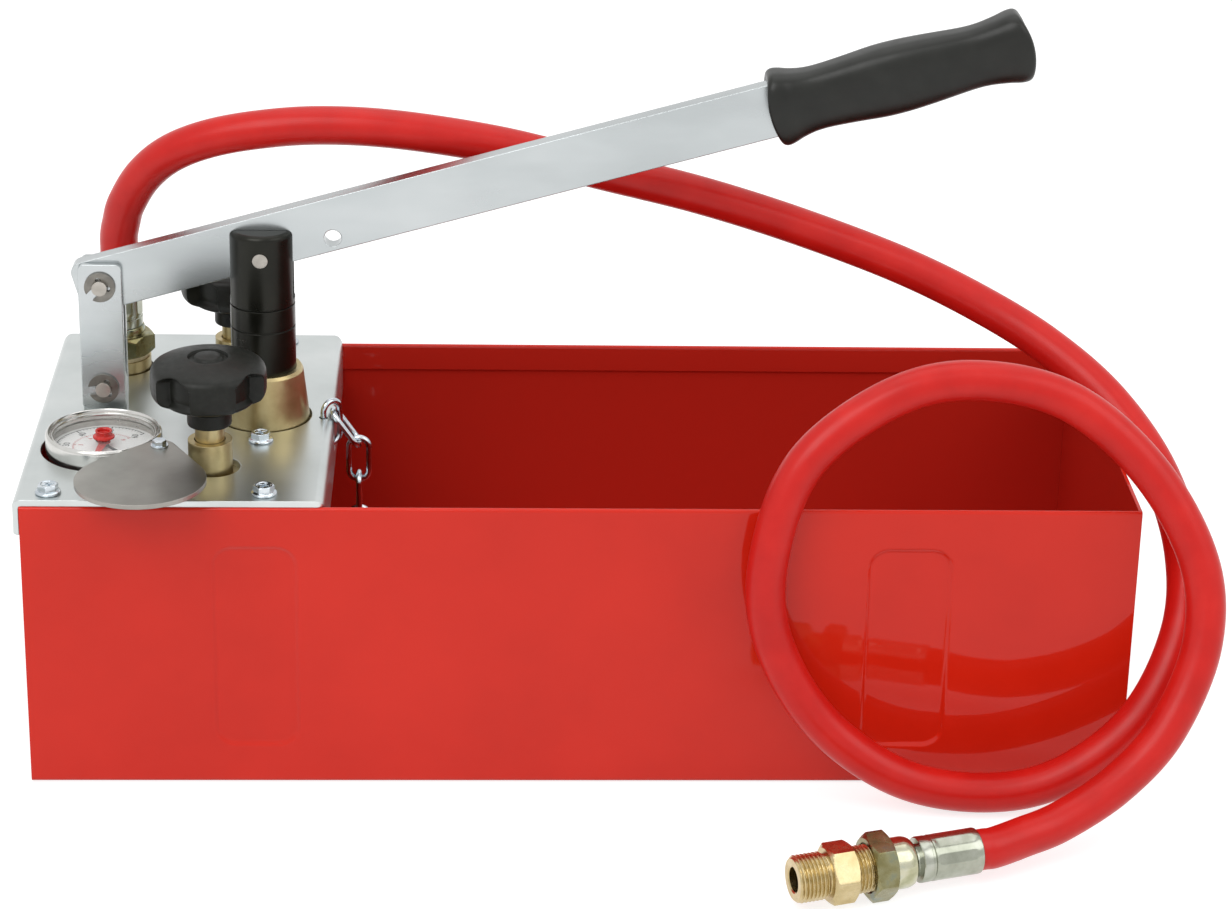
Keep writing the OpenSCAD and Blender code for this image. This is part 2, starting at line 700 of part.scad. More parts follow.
// Plug, ball and spring of the delivery valve under the rear tower
module delivery_plug() color(brass) on_valve(1, 0) difference() {
    union() {
        translate([0, 0, rear_tower_bottom])
            cylinder(r = delivery_bore_r, h = delivery_seat_z - rear_tower_bottom);
        translate([0, 0, rear_tower_bottom - 6]) hex(22, 6);
    }
    translate([0, 0, rear_tower_bottom - 3]) cylinder(r = delivery_seat_r, h = 30);
}
module delivery_ball() color(steel) on_valve(1, delivery_ball_z) sphere(delivery_ball_r);
module delivery_spring() color(steel) {
    z = delivery_ball_z + coil_seat(delivery_ball_r, delivery_coil_r);
    top = delivery_top - pin_fit;
    on_valve(1, z) coil(delivery_coil_r, spring_wire, top - z, 4);
}

// Plunger and its slotted head
plunger_split = plunger_pin_z - head_under_pin;
module groove(z, w, depth) {
    translate([0, 0, z]) difference() {
        cylinder(d = plunger_d + 2, h = w);
        translate([0, 0, -1]) cylinder(d = plunger_d - 2 * depth, h = w + 2);
    }
}
module plunger() color(black) translate([plunger_x, 0, 0]) difference() {
    translate([0, 0, plunger_bottom]) cylinder(d = plunger_d, h = plunger_split - plunger_bottom);
    groove(plunger_split - 11, 0.8, 0.5);
}
module plunger_head() color(black) translate([plunger_x, 0, 0]) difference() {
    edge = 2.5;
    top = plunger_pin_z + head_over_pin;
    union() {
        translate([0, 0, plunger_split]) cylinder(d = plunger_d, h = top - plunger_split - edge);
        translate([0, 0, top - edge]) rotate_extrude() intersection() {
            union() {
                square([plunger_d / 2 - edge, edge]);
                translate([plunger_d / 2 - edge, 0]) circle(edge);
            }
            square([plunger_d, plunger_d]);
        }
    }
    groove(plunger_split - 0.01, 0.8, 0.5);
    translate([-plunger_d, -strap_in, plunger_pin_z - slot_under_pin])
        cube([2 * plunger_d, 2 * strap_in, slot_under_pin + head_over_pin + 1]);
    translate([0, 0, plunger_pin_z]) rotate([90, 0, 0])
        cylinder(d = pin_d + 2 * pin_fit, h = 2 * plunger_d, center = true);
}
module plunger_pin() color(zinc) translate([plunger_x, 0, plunger_pin_z]) rotate([90, 0, 0])
    cylinder(d = pin_d, h = plunger_d - 0.8, center = true);

// Lug through the plate that carries the link
module link_lug() color(zinc) translate([link_x, 0, 0]) difference() {
    foot_t = 4;
    union() {
        translate([-strap_w / 2, -bar_t / 2, tank_h - foot_t])
            cube([strap_w, bar_t, lower_pin_z - tank_h + foot_t]);
        translate([0, 0, lower_pin_z]) rotate([90, 0, 0]) cylinder(d = strap_w, h = bar_t, center = true);
        translate([-strap_w / 2, -strap_w / 2, tank_h - foot_t]) cube([strap_w, strap_w, foot_t]);
    }
    translate([0, 0, lower_pin_z]) rotate([90, 0, 0])
        cylinder(d = pin_d + 2 * pin_fit, h = 2 * bar_t, center = true);
}

// Two straps of the link, their pins and clips
module strap(side) color(zinc) translate([link_x, side > 0 ? strap_out : -strap_in, 0]) rotate([90, 0, 0])
    linear_extrude(strap_t) difference() {
        translate([0, (lower_pin_z + upper_pin_z) / 2]) rounded(strap_w, link_len + 2 * strap_end, 3);
        for (z = [lower_pin_z, upper_pin_z]) translate([0, z]) circle(d = pin_d + 2 * pin_fit);
    }
module front_strap() strap(-1);
module back_strap() strap(1);
module link_pin(z) color(steel) translate([link_x, 0, z]) rotate([90, 0, 0]) difference() {
    half = strap_out + clip_t + seat + pin_end;
    cylinder(d = pin_d, h = 2 * half, center = true);
    for (s = [-1, 1]) translate([0, 0, s * (strap_out + seat / 2 + clip_t / 2)]) difference() {
        cylinder(d = pin_d + 2, h = clip_t + seat, center = true);
        cylinder(d = pin_neck_d, h = clip_t + 2, center = true);
    }
}
module lower_link_pin() link_pin(lower_pin_z);
module upper_link_pin() link_pin(upper_pin_z);
module e_clip(turn) {
    linear_extrude(clip_t) rotate(turn) difference() {
        circle(d = clip_d);
        circle(d = pin_neck_d + 2 * pin_fit);
        translate([0, -pin_neck_d * 0.4]) square([clip_d, pin_neck_d * 0.8]);
        for (s = [-1, 1]) rotate(s * 125) translate([pin_neck_d / 2 + 1, 0]) circle(1.3);
    }
}
module e_clips() color(steel) for (s = [-1, 1]) {
    y = s < 0 ? -strap_out - seat / 2 : strap_out + seat / 2 + clip_t;
    translate([link_x, y, upper_pin_z]) rotate([90, 0, 0]) e_clip(225);
    translate([link_x, y, lower_pin_z]) rotate([90, 0, 0]) e_clip(190);
}

// Lever: flat bar and moulded grip
bar_end = 11.5;
grip_start = lever_len - grip_len;
bar_in_grip = grip_len - 20;
module lever_bar() color(zinc) on_lever() rotate([90, 0, 0])
    linear_extrude(bar_t, center = true) bar_outline();
module bar_outline() difference() {
    bar_len = bar_end + grip_start + bar_in_grip;
    translate([bar_len / 2 - bar_end, 0]) rounded(bar_len, bar_h, 5);
    circle(d = pin_d + 2 * pin_fit);
    slot_r = pin_d / 2 + pin_play_radius;
    translate([pin_reach, pin_play_up - pin_drop]) {
        circle(slot_r);
        translate([pin_play_along, 0]) circle(slot_r);
        translate([0, -slot_r]) square([pin_play_along, 2 * slot_r]);
    }
    translate([chain_hole_at, -chain_hole_drop]) circle(d = chain_hole_d);
}
// Half heights of the grip on a 25 mm bar, at shares of its length
grip_outline = [[0, 13.7], [0.012, 16.9], [0.035, 17.4], [0.08, 15.8], [0.14, 14.3], [0.26, 14.7],
    [0.42, 16.1], [0.6, 15.4], [0.76, 14], [0.87, 14.6], [0.95, 16.4], [0.985, 15.8], [1, 13]];
grip_depth = 0.76;
grip_sides = 28;
function grip_ring(station) = [for (k = [0 : grip_sides - 1])
    let (a = 360 * k / grip_sides, c = cos(a), s = sin(a), half = station[1] * bar_h / 25)
    [grip_start + grip_len * station[0],
        half * grip_depth * sign(c) * pow(abs(c), 0.8), half * sign(s) * pow(abs(s), 0.8)]];
module lever_grip() color(black) on_lever() difference() {
    count = len(grip_outline);
    points = [for (station = grip_outline) each grip_ring(station)];
    walls = [for (i = [0 : count - 2], k = [0 : grip_sides - 1])
        let (a = i * grip_sides + k, b = i * grip_sides + (k + 1) % grip_sides)
        each [[a, a + grip_sides, b], [b, a + grip_sides, b + grip_sides]]];
    last = (count - 1) * grip_sides;
    caps = [for (k = [1 : grip_sides - 2]) each [[0, k, k + 1], [last, last + k + 1, last + k]]];
    polyhedron(points, concat(walls, caps));
    translate([grip_start - 1, -bar_t / 2 - seat, -bar_h / 2 - seat])
        cube([bar_in_grip + 1 + seat, bar_t + 2 * seat, bar_h + 2 * seat]);
}

// Valve knob with four finger hollows, its spindle, and the disc that meets the seat
module finger_hollow(r, h) rotate_extrude() intersection() {
    union() {
        square([r, h]);
        translate([0, h]) circle(r);
    }
    square([r, h + r]);
}
module valve_knob(side) color(black) on_valve(side, 0) difference() {
    r = knob_d / 2;
    hollow_r = 8;
    hollow_depth = 5.6;
    t = knob_h / 26;
    union() {
        translate([0, 0, collar_z]) cylinder(r = collar_r, h = collar_h);
        translate([0, 0, knob_z]) rotate_extrude() polygon([[0, 0], [collar_r, 0],
            [r - 6, 4.2 * t], [r - 2.6, 5.8 * t], [r - 1, 7.4 * t], [r, 11 * t], [r, 16 * t],
            [r - 0.2, 18.6 * t], [r - 1, 20.6 * t], [r - 2.6, 22 * t], [r - 6, 23.2 * t],
            [r - 10, 24.2 * t], [r - 18, 25.5 * t], [0, knob_h]]);
    }
    for (a = [55 : 90 : 325]) rotate(a) translate([r + hollow_r - hollow_depth, 0, knob_z + 5.2 * t])
        finger_hollow(hollow_r, 7.4 * t);
    translate([0, 0, knob_z + knob_h - 1.6]) difference() {
        cylinder(r = 8, h = 3);
        translate([0, 0, -1]) cylinder(r = 5.5, h = 5);
    }
    translate([0, 0, collar_z - 1]) cylinder(d = spindle_d + 2 * seat, h = collar_h + 6);
}
module front_valve_knob() valve_knob(-1);
module rear_valve_knob() valve_knob(1);
module valve_spindle(side) color(brass) on_valve(side, spindle_bottom)
    cylinder(d = spindle_d, h = collar_z + collar_h + 5 - seat - spindle_bottom);
module front_valve_spindle() valve_spindle(-1);
module rear_valve_spindle() valve_spindle(1);
module valve_disc(side) color(rubber_black) on_valve(side, disc_z)
    cylinder(d = spindle_d - 0.6, h = disc_t);
module front_valve_disc() valve_disc(-1);
module rear_valve_disc() valve_disc(1);

// Pressure gauge
module on_gauge() {
    translate([gauge_x, -gauge_y, 0]) children();
}
module gauge_case() color(steel) on_gauge() difference() {
    translate([0, 0, case_bottom]) cylinder(r = case_r, h = lens_z - seat - case_bottom);
    translate([0, 0, dial_z]) cylinder(r = case_r - case_wall, h = lens_z - dial_z);
    translate([0, 0, case_bottom + 2]) cylinder(r = case_r - 4, h = lens_z - case_bottom);
    translate([0, 0, case_bottom - 1]) cylinder(r = stem_r - 1 + seat, h = 5);
}
module gauge_bezel() color(steel) on_gauge() rotate_extrude() {
    r = bezel_d / 2;
    in_r = case_r + seat;
    low = plate_top - 2;
    lip = lens_z + lens_t + seat;
    polygon([[in_r, low], [r - 0.6, low], [r, low + 0.8], [r, bezel_top - 1.4], [r - 1.2, bezel_top],
        [r - 2.6, bezel_top], [r - 3.6, bezel_top - 1.2], [r - 3.6, lip], [in_r, lip]]);
}
module gauge_dial() color("white") on_gauge() translate([0, 0, dial_z]) difference() {
    cylinder(r = case_r - case_wall - seat, h = dial_t);
    translate([0, 0, -1]) cylinder(r = pointer_shaft_r + gap, h = 4);
}
module gauge_lens() color([0.9, 0.95, 0.97, 0.3]) on_gauge() translate([0, 0, lens_z]) difference() {
    cylinder(r = case_r - seat, h = lens_t);
    translate([0, 0, -1]) cylinder(r = marker_shaft_r + pin_fit, h = 4);
}
module gauge_stem() color(brass) on_gauge() {
    translate([0, 0, stem_bottom + 2]) cylinder(r = stem_r, h = gallery_z - stem_bottom - 2);
    translate([0, 0, gallery_z]) hex(17, case_bottom - gallery_z);
    translate([0, 0, case_bottom]) cylinder(r = stem_r - 1, h = 10);
}
module bourdon_tube() color(brass) on_gauge() translate([0, 0, case_bottom + 5]) {
    rotate_extrude(angle = 270) translate([14.5, 0]) square([3, 8]);
    translate([stem_r - 1 + seat, 0, 0]) cube([14.5 - stem_r + 1.5, 3, 8]);
}
pressure_turn = 311;
module pressure_pointer() color(rubber_black) on_gauge() {
    z = dial_z + dial_t + 0.5;
    translate([0, 0, z - 8]) cylinder(r = pointer_shaft_r, h = 8.6);
    translate([0, 0, z]) cylinder(r = 2.2, h = 0.6);
    rotate(pressure_turn) translate([-6, -0.5, z]) cube([25, 1, 0.6]);
}
marker_turn = 262;
module marker_pointer() color("red") on_gauge() {
    z = dial_z + dial_t + 1.6;
    translate([0, 0, z]) cylinder(r = 3, h = 0.8);
    rotate(marker_turn) translate([0, -0.9, z]) cube([20, 1.8, 0.8]);
    translate([0, 0, z]) cylinder(r = marker_shaft_r, h = lens_z + lens_t + 1 - z);
    translate([0, 0, lens_z + lens_t + gap]) difference() {
        union() {
            cylinder(r = 5, h = 1);
            cylinder(r = 3.9, h = cover_z - gap - lens_z - lens_t - gap - 0.4);
        }
        translate([0, 0, 1.8]) cylinder(r = 2.6, h = 4);
    }
}

// Swivelling cover of the gauge, on its post
module cover_post() color(zinc) translate([cover_x, -cover_y, plate_top]) difference() {
    cylinder(r = 5, h = cover_z - plate_top - pin_fit);
    translate([0, 0, -1]) cylinder(r = cover_screw_r + seat, h = 20);
}
// Outline of the gauge cover: an arc round the disc, then one round the ear
cover_tangent = acos((cover_ear_r - cover_r) / cover_arm);
cover_steps = 48;
ear_steps = 12;
cover_outline = concat(
    [for (i = [0 : cover_steps]) let (a = cover_tangent * (2 * i / cover_steps - 1))
        [cover_arm + cover_r * cos(a), cover_r * sin(a)]],
    [for (i = [0 : ear_steps]) let (a = cover_tangent + (360 - 2 * cover_tangent) * i / ear_steps)
        [cover_ear_r * cos(a), cover_ear_r * sin(a)]]);
module gauge_cover() color(steel) translate([cover_x, -cover_y, cover_z]) rotate(cover_open)
    linear_extrude(cover_t) difference() {
        polygon(cover_outline);
        circle(cover_screw_r + pin_fit);
    }
module cover_screw() color(zinc) translate([cover_x, -cover_y, cover_z + cover_t + pin_fit]) {
    cylinder(r = 4, h = 0.8);
    hex(5.5, 3);
    shank = cover_t + cover_z - tank_h + 4;
    translate([0, 0, -shank]) cylinder(r = cover_screw_r, h = shank);
}

// Outlet stack at the back: sealing washer, union nut and the hose's first ferrule
module on_outlet(z) {
    translate([outlet_x, outlet_y, z]) children();
}
module bored(r, h, bore) {
    difference() {
        cylinder(r = r, h = h);
        translate([0, 0, -1]) cylinder(r = bore, h = h + 2);
    }
}
module outlet_washer() color([0.85, 0.82, 0.72]) on_outlet(plate_top + outlet_rise)
    bored(12.5, washer_t, hose_bore_r);
module outlet_nut() color(yellow_zinc) on_outlet(outlet_nut_z) difference() {
    union() {
        hex(outlet_nut_af, outlet_nut_h - 4);
        cylinder(r = 11, h = outlet_nut_h);
    }
    translate([0, 0, -1]) cylinder(r = hose_bore_r, h = outlet_nut_h + 2);
}
module outlet_ferrule() color(zinc) on_outlet(outlet_ferrule_z)
    bored(ferrule_r, hose_start_z - outlet_ferrule_z, hose_bore_r);

// Hose in one unbroken tube
module hose() color(hose_red) tube_along(curve(hose_route, hose_steps), hose_d / 2, hose_sides, [0, 1, 0]);

// Free end: ferrule, swivel nut and threaded adapter
nut_start = end_ferrule_len + end_neck_len;
adapter_start = nut_start + nut_collar_len + nut_hex_len;
module hose_end_ferrule() color(zinc) on_free_end() difference() {
    union() {
        cylinder(r = ferrule_r, h = end_ferrule_len);
        cylinder(r = 7, h = nut_start);
    }
    translate([0, 0, -1]) cylinder(r = hose_bore_r, h = nut_start + 2);
}
module swivel_nut() color(yellow_zinc) on_free_end() translate([0, 0, nut_start]) difference() {
    union() {
        cylinder(r = 11.4, h = nut_collar_len);
        translate([0, 0, nut_collar_len]) rotate(30 - nut_turn) hex(nut_af, nut_hex_len);
    }
    translate([0, 0, -1]) cylinder(d = adapter_bore, h = nut_collar_len + nut_hex_len + 2);
}
module adapter() color(brass) on_free_end() translate([0, 0, adapter_start]) difference() {
    union() {
        cylinder(d = thread_d, h = adapter_neck_len + adapter_hex_len + thread_len);
        translate([0, 0, adapter_neck_len]) rotate(30 + nut_turn) hex(adapter_af, adapter_hex_len);
    }
    translate([0, 0, -1]) cylinder(d = adapter_bore, h = adapter_neck_len + adapter_hex_len + thread_len + 2);
}

// Chain that locks the lever down
module chain_link() {
    for (s = [-1, 1]) {
        translate([0, 0, s * chain_straight]) rotate([s * 90, 0, 0]) rotate_extrude(angle = 180)
            translate([chain_bend_r, 0]) circle(d = chain_wire, $fn = 32);
        translate([s * chain_bend_r, 0, -chain_straight])
            cylinder(d = chain_wire, h = 2 * chain_straight, $fn = 32);
    }
}
module chain_ring() color(zinc) translate([ring_x, 0, ring_z]) rotate(ring_turn) chain_link();
// The first link leans out over the plate's corner, the others hang straight below it
module lock_chain() color(zinc) translate([hook_x, ring_back, hook_z]) {
    rotate([0, -chain_lean, 0]) translate([0, 0, -chain_apex]) rotate(90) chain_link();
    drop = 2 * chain_apex * cos(chain_lean) + chain_apex - chain_wire - gap;
    low = [2 * chain_apex * sin(chain_lean), 0, -drop];
    for (i = [0 : chain_links - 2])
        translate(low - [0, 0, i * chain_pitch]) rotate(i % 2 == 0 ? 0 : 90) chain_link();
}

tank_shell();
tank_end_left();
tank_end_right();
plate_tabs();
cover_plate();
plate_screws();
pump_screws();
pump_body();
gland_seals();
suction_cap();
suction_ball();
suction_spring();
strainer();
delivery_plug();
delivery_ball();
delivery_spring();
plunger();
plunger_head();
plunger_pin();
link_lug();
front_strap();
back_strap();
lower_link_pin();
upper_link_pin();
e_clips();
lever_bar();
lever_grip();
front_valve_knob();
front_valve_spindle();
front_valve_disc();
rear_valve_knob();
rear_valve_spindle();
rear_valve_disc();
gauge_case();
gauge_bezel();
gauge_dial();
gauge_lens();
gauge_stem();
bourdon_tube();
pressure_pointer();
marker_pointer();
cover_post();
gauge_cover();
cover_screw();
outlet_washer();
outlet_nut();
outlet_ferrule();
hose();
hose_end_ferrule();
swivel_nut();
adapter();
chain_ring();
lock_chain();
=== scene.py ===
# Studio scene of a hydrostatic test pump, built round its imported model. Lengths in the tables are millimetres.
import bpy
import numpy as np
from math import cos, pi, radians, sin
from mathutils import Matrix, Vector


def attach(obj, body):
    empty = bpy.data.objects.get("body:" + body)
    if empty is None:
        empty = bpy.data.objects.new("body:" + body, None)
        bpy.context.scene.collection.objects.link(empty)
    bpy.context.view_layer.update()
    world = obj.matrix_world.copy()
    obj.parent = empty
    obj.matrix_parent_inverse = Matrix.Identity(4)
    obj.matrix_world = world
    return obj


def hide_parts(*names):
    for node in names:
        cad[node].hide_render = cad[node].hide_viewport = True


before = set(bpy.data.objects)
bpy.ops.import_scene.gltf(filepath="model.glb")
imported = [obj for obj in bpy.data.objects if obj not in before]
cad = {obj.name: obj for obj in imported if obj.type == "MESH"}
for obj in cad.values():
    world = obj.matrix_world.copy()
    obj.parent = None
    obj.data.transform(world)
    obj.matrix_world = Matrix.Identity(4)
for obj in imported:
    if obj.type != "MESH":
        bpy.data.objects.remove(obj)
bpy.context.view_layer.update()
mm = 0.001
scene = bpy.context.scene
print("loaded", len(cad), "nodes")

# camera fitted to the photo: place in metres, angles in degrees
shot = {"place": (-0.0464, -1.4730, 0.7538), "pitch": 22.345, "yaw": 3.127, "roll": 1.541,
        "lens": 98.91, "shiftX": -0.0294, "shiftY": -0.0424}
pitch, yaw, roll = (radians(shot[key]) for key in ("pitch", "yaw", "roll"))
ahead = Vector((sin(yaw) * cos(pitch), cos(yaw) * cos(pitch), -sin(pitch)))
level = Vector((cos(yaw), -sin(yaw), 0))
upright = level.cross(ahead)
cameraX = cos(roll) * level + sin(roll) * upright
cameraY = cos(roll) * upright - sin(roll) * level
camera = bpy.data.objects.new("camera", bpy.data.cameras.new("camera"))
scene.collection.objects.link(camera)
camera.data.sensor_fit = "HORIZONTAL"
camera.data.sensor_width = 36
camera.data.lens = shot["lens"]
camera.data.shift_x = shot["shiftX"]
camera.data.shift_y = shot["shiftY"]
camera.data.clip_end = 50
turn = Matrix((cameraX, cameraY, -ahead)).transposed().to_4x4()
camera.matrix_world = Matrix.Translation(shot["place"]) @ turn
scene.camera = camera
scene.view_settings.view_transform = "Standard"
print("camera placed")


def linear(code):
    # sRGB hex colour to scene linear
    channels = np.array([int(code[i:i + 2], 16) for i in (1, 3, 5)]) / 255
    low = channels / 12.92
    high = ((channels + 0.055) / 1.055) ** 2.4
    return (*np.where(channels <= 0.04045, low, high), 1)


def addNode(tree, kind, inputs=None, **settings):
    node = tree.nodes.new("ShaderNode" + kind)
    for key, value in settings.items():
        setattr(node, key, value)
    for key, value in (inputs or {}).items():
        if isinstance(value, bpy.types.NodeSocket):
            tree.links.new(value, node.inputs[key])
        else:
            node.inputs[key].default_value = value
    return node


# noise that all finishes share: the middle of its range that is used, its detail, and how large roughness patches are
# beside colour patches
pattern = {"low": 0.3, "high": 0.7, "rough": 0.55, "patchDetail": 4, "roughDetail": 3, "grainDetail": 2,
           "roughSize": 0.6, "bevelSamples": 6}


def noise(tree, place, size, detail):
    # size is the pattern's wavelength in millimetres
    return addNode(tree, "TexNoise", {"Vector": place, "Scale": 1 / (size * mm), "Detail": detail,
                                      "Roughness": pattern["rough"]}).outputs["Fac"]


def spread(tree, value, low, high):
    # the used middle of the noise, stretched from low to high
    return addNode(tree, "MapRange", {"Value": value, "From Min": pattern["low"], "From Max": pattern["high"],
                                      "To Min": low, "To Max": high}).outputs["Result"]


def shades(tree, value, codes):
    # colours at even steps over the used middle of the noise
    ramp = addNode(tree, "ValToRGB", {"Fac": value})
    stops = ramp.color_ramp.elements
    while len(stops) < len(codes):
        stops.new(0.5)
    for k, code in enumerate(codes):
        stops[k].position = pattern["low"] + (pattern["high"] - pattern["low"]) * k / (len(codes) - 1)
        stops[k].color = linear(code)
    return ramp.outputs["Color"]


def paintedInsideShade(tree, color, look):
    # painted shade: a darker red mixed in on faces within a box, the tank's inside, standing in for the shade there;
    # the box is given from its middle across and from its low to its high end
    place = addNode(tree, "SeparateXYZ", {"Vector": addNode(tree, "TexCoord").outputs["Object"]}).outputs
    tests = []
    for axis, reach in zip("XY", look["across"]):
        distance = addNode(tree, "Math", {0: place[axis]}, operation="ABSOLUTE").outputs[0]
        tests.append((distance, "LESS_THAN", reach))
    tests += [(place["Z"], "GREATER_THAN", look["low"]), (place["Z"], "LESS_THAN", look["high"])]
    within = look["share"]
    for value, kind, limit in tests:
        test = addNode(tree, "Math", {0: value, 1: limit * mm}, operation=kind).outputs[0]
        within = addNode(tree, "Math", {0: within, 1: test}, operation="MULTIPLY").outputs[0]
    return addNode(tree, "MixRGB", {"Fac": within, "Color1": color, "Color2": linear(look["paintedShade"])}).outputs["Color"]


materials = {}


def material(name, look):
    # colour patches, roughness patches and fine grain, each from noise of a stated size in millimetres
    made = bpy.data.materials.new(name)
    made.use_nodes = True
    tree = made.node_tree
    tree.nodes.clear()
    place = addNode(tree, "TexCoord").outputs["Object"]
    if "stretch" in look:
        place = addNode(tree, "Mapping", {"Vector": place, "Scale": look["stretch"]}).outputs["Vector"]
    color = shades(tree, noise(tree, place, look["patch"], pattern["patchDetail"]), look["shades"])
    # painted shade: the faces inside the tank take a darker red
    if "inside" in look:
        color = paintedInsideShade(tree, color, look["inside"])
    dull = noise(tree, place, look["patch"] * pattern["roughSize"], pattern["roughDetail"])
    fine = noise(tree, place, look["grain"], pattern["grainDetail"])
    bump = {"Height": fine, "Strength": look["bump"], "Distance": look["depth"] * mm}
    if "edge" in look:
        bevel = addNode(tree, "Bevel", {"Radius": look["edge"] * mm}, samples=pattern["bevelSamples"])
        bump["Normal"] = bevel.outputs["Normal"]
    inputs = {"Base Color": color, "Roughness": spread(tree, dull, *look["rough"]),
              "Normal": addNode(tree, "Bump", bump).outputs["Normal"], "Metallic": look.get("metal", 0),
              "Specular IOR Level": look.get("specular", 0.5)}
    for key, socket in (("coat", "Coat Weight"), ("coatRough", "Coat Roughness"), ("coatIor", "Coat IOR"),
                        ("alpha", "Alpha")):
        if key in look:
            inputs[socket] = look[key]
    if "coat" in look and "edge" in look:
        inputs["Coat Normal"] = bump["Normal"]
    shader = addNode(tree, "BsdfPrincipled", inputs)
    addNode(tree, "OutputMaterial", {"Surface": shader.outputs["BSDF"]})
    materials[name] = made


# gloss enamel: red pigment under a clear coat, with a faint orange peel; painted shade makes it darker inside the tank
material("gloss enamel", {"shades": ("#cf2310", "#d42512", "#d82714"), "patch": 60, "rough": (0.3, 0.36),
                          "grain": 2.6, "bump": 0.04, "depth": 0.03, "edge": 0.5, "coat": 0.8, "coatRough": 0.04,
                          "coatIor": 1.4, "specular": 0,
                          "inside": {"across": (248.9, 99.8), "low": 1.2, "high": 136.4, "paintedShade": "#bf2a1f",
                                     "share": 0.9}})
# hose rubber: satin red with a fine cloth grain, coarsened to 0.9 mm
material("hose rubber", {"shades": ("#c21711", "#cb1a14", "#d22019"), "patch": 22, "rough": (0.3, 0.38),
                         "grain": 0.9, "bump": 0.12, "depth": 0.05, "specular": 0.32})
# zinc sheet: clear passivated plate, smooth, with blurred reflections
material("zinc sheet", {"shades": ("#c3c8c7", "#cbd0cf", "#d3d7d6"), "patch": 45, "rough": (0.29, 0.35),
                        "grain": 1.2, "bump": 0.02, "depth": 0.02, "edge": 0.7, "metal": 1})
# zinc bar: smooth drawn bar, slightly brushed along its length
material("zinc bar", {"shades": ("#b2b7b8", "#bcc1c2", "#c5c9ca"), "patch": 40, "rough": (0.22, 0.29),
                      "grain": 1.4, "bump": 0.03, "depth": 0.02, "edge": 0.8, "metal": 1, "stretch": (0.35, 1, 1)})
# bright zinc: blue passivated fasteners and chain wire
material("bright zinc", {"shades": ("#b8c1c8", "#c6ced4", "#d6dbde"), "patch": 5, "rough": (0.12, 0.22),
                         "grain": 0.8, "bump": 0.06, "depth": 0.03, "edge": 0.35, "metal": 1})
# plain steel: turned pins, balls and springs
material("plain steel", {"shades": ("#a49f97", "#b4afa7", "#c0bbb4"), "patch": 6, "rough": (0.26, 0.38),
                         "grain": 0.8, "bump": 0.08, "depth": 0.03, "edge": 0.35, "metal": 1})
# clip steel: oiled spring steel
material("clip steel", {"shades": ("#6f6c66", "#7d7a74", "#8a8780"), "patch": 5, "rough": (0.28, 0.4),
                        "grain": 0.8, "bump": 0.08, "depth": 0.03, "edge": 0.3, "metal": 1})
# satin steel: warm grey cover sheet
material("satin steel", {"shades": ("#95928c", "#a09d97", "#a9a6a0"), "patch": 30, "rough": (0.36, 0.42),
                         "grain": 1.0, "bump": 0.03, "depth": 0.02, "edge": 0.6, "metal": 1})
# cast brass: satin, with faint darker patches
material("cast brass", {"shades": ("#a59468", "#b4a378", "#bfb087"), "patch": 12, "rough": (0.3, 0.4),
                        "grain": 1.0, "bump": 0.1, "depth": 0.04, "edge": 0.5, "metal": 1})
# turned brass: bright and clean
material("turned brass", {"shades": ("#b6a376", "#c4b287", "#d0c099"), "patch": 8, "rough": (0.2, 0.3),
                          "grain": 0.8, "bump": 0.08, "depth": 0.03, "metal": 1})
# yellow zinc: chromated nuts that shift between olive, gold and grey, kept darker than the collar's pale copy as
# painted shade in the hex faces' reflections
material("yellow zinc", {"shades": ("#6e6f50", "#837c55", "#928e6c", "#7e8779"), "patch": 9, "rough": (0.2, 0.32),
                         "grain": 0.9, "bump": 0.1, "depth": 0.03, "metal": 1})
# pale zinc: a lighter copy of the yellow zinc for the nut's round collar, a painted reflection of bright surroundings
material("pale zinc painted reflection", {"shades": ("#a3a384", "#b5b497", "#c3c1aa", "#aeb6a9"), "patch": 8, "rough": (0.16, 0.24),
                       "grain": 0.9, "bump": 0.06, "depth": 0.03, "metal": 1})
# ferrule zinc: pale plate with a faint yellow cast
material("ferrule zinc", {"shades": ("#949789", "#a3a698", "#b1b3a8"), "patch": 9, "rough": (0.16, 0.24),
                          "grain": 0.9, "bump": 0.1, "depth": 0.03, "metal": 1})
# grip plastic: black moulding with a satin skin
material("grip plastic", {"shades": ("#141511", "#191a16", "#1f201c"), "patch": 14, "rough": (0.32, 0.4),
                          "grain": 0.9, "bump": 0.05, "depth": 0.04, "specular": 0.35})
# knob plastic: black phenolic with fine speckle
material("knob plastic", {"shades": ("#151612", "#1a1b17", "#20211d"), "patch": 4, "rough": (0.36, 0.46),
                          "grain": 0.8, "bump": 0.1, "depth": 0.04, "specular": 0.24})
# black steel: oil-blackened plunger, ground smooth
material("black steel", {"shades": ("#181812", "#1d1d17", "#22221b"), "patch": 18, "rough": (0.27, 0.32),
                         "grain": 1.2, "bump": 0.02, "depth": 0.02, "edge": 0.5, "metal": 0.6})
# dial card: white print with a faint tooth
material("dial card", {"shades": ("#e9e9e6", "#f0f0ee", "#f5f5f3"), "patch": 12, "rough": (0.45, 0.55),
                       "grain": 0.6, "bump": 0.04, "depth": 0.02})
# black ink and red ink: matt print of the dial
material("black ink", {"shades": ("#101010", "#161616", "#1c1c1c"), "patch": 3, "rough": (0.5, 0.6),
                       "grain": 0.6, "bump": 0.03, "depth": 0.01})
material("red ink", {"shades": ("#b8201c", "#c42822", "#cc302a"), "patch": 3, "rough": (0.5, 0.6),
                     "grain": 0.6, "bump": 0.03, "depth": 0.01})
# clear lens: a faint pane, mostly see-through
material("clear lens", {"shades": ("#f4f7f7", "#f8fafa", "#ffffff"), "patch": 20, "rough": (0.03, 0.06),
                        "grain": 4, "bump": 0.02, "depth": 0.01, "alpha": 0.1})
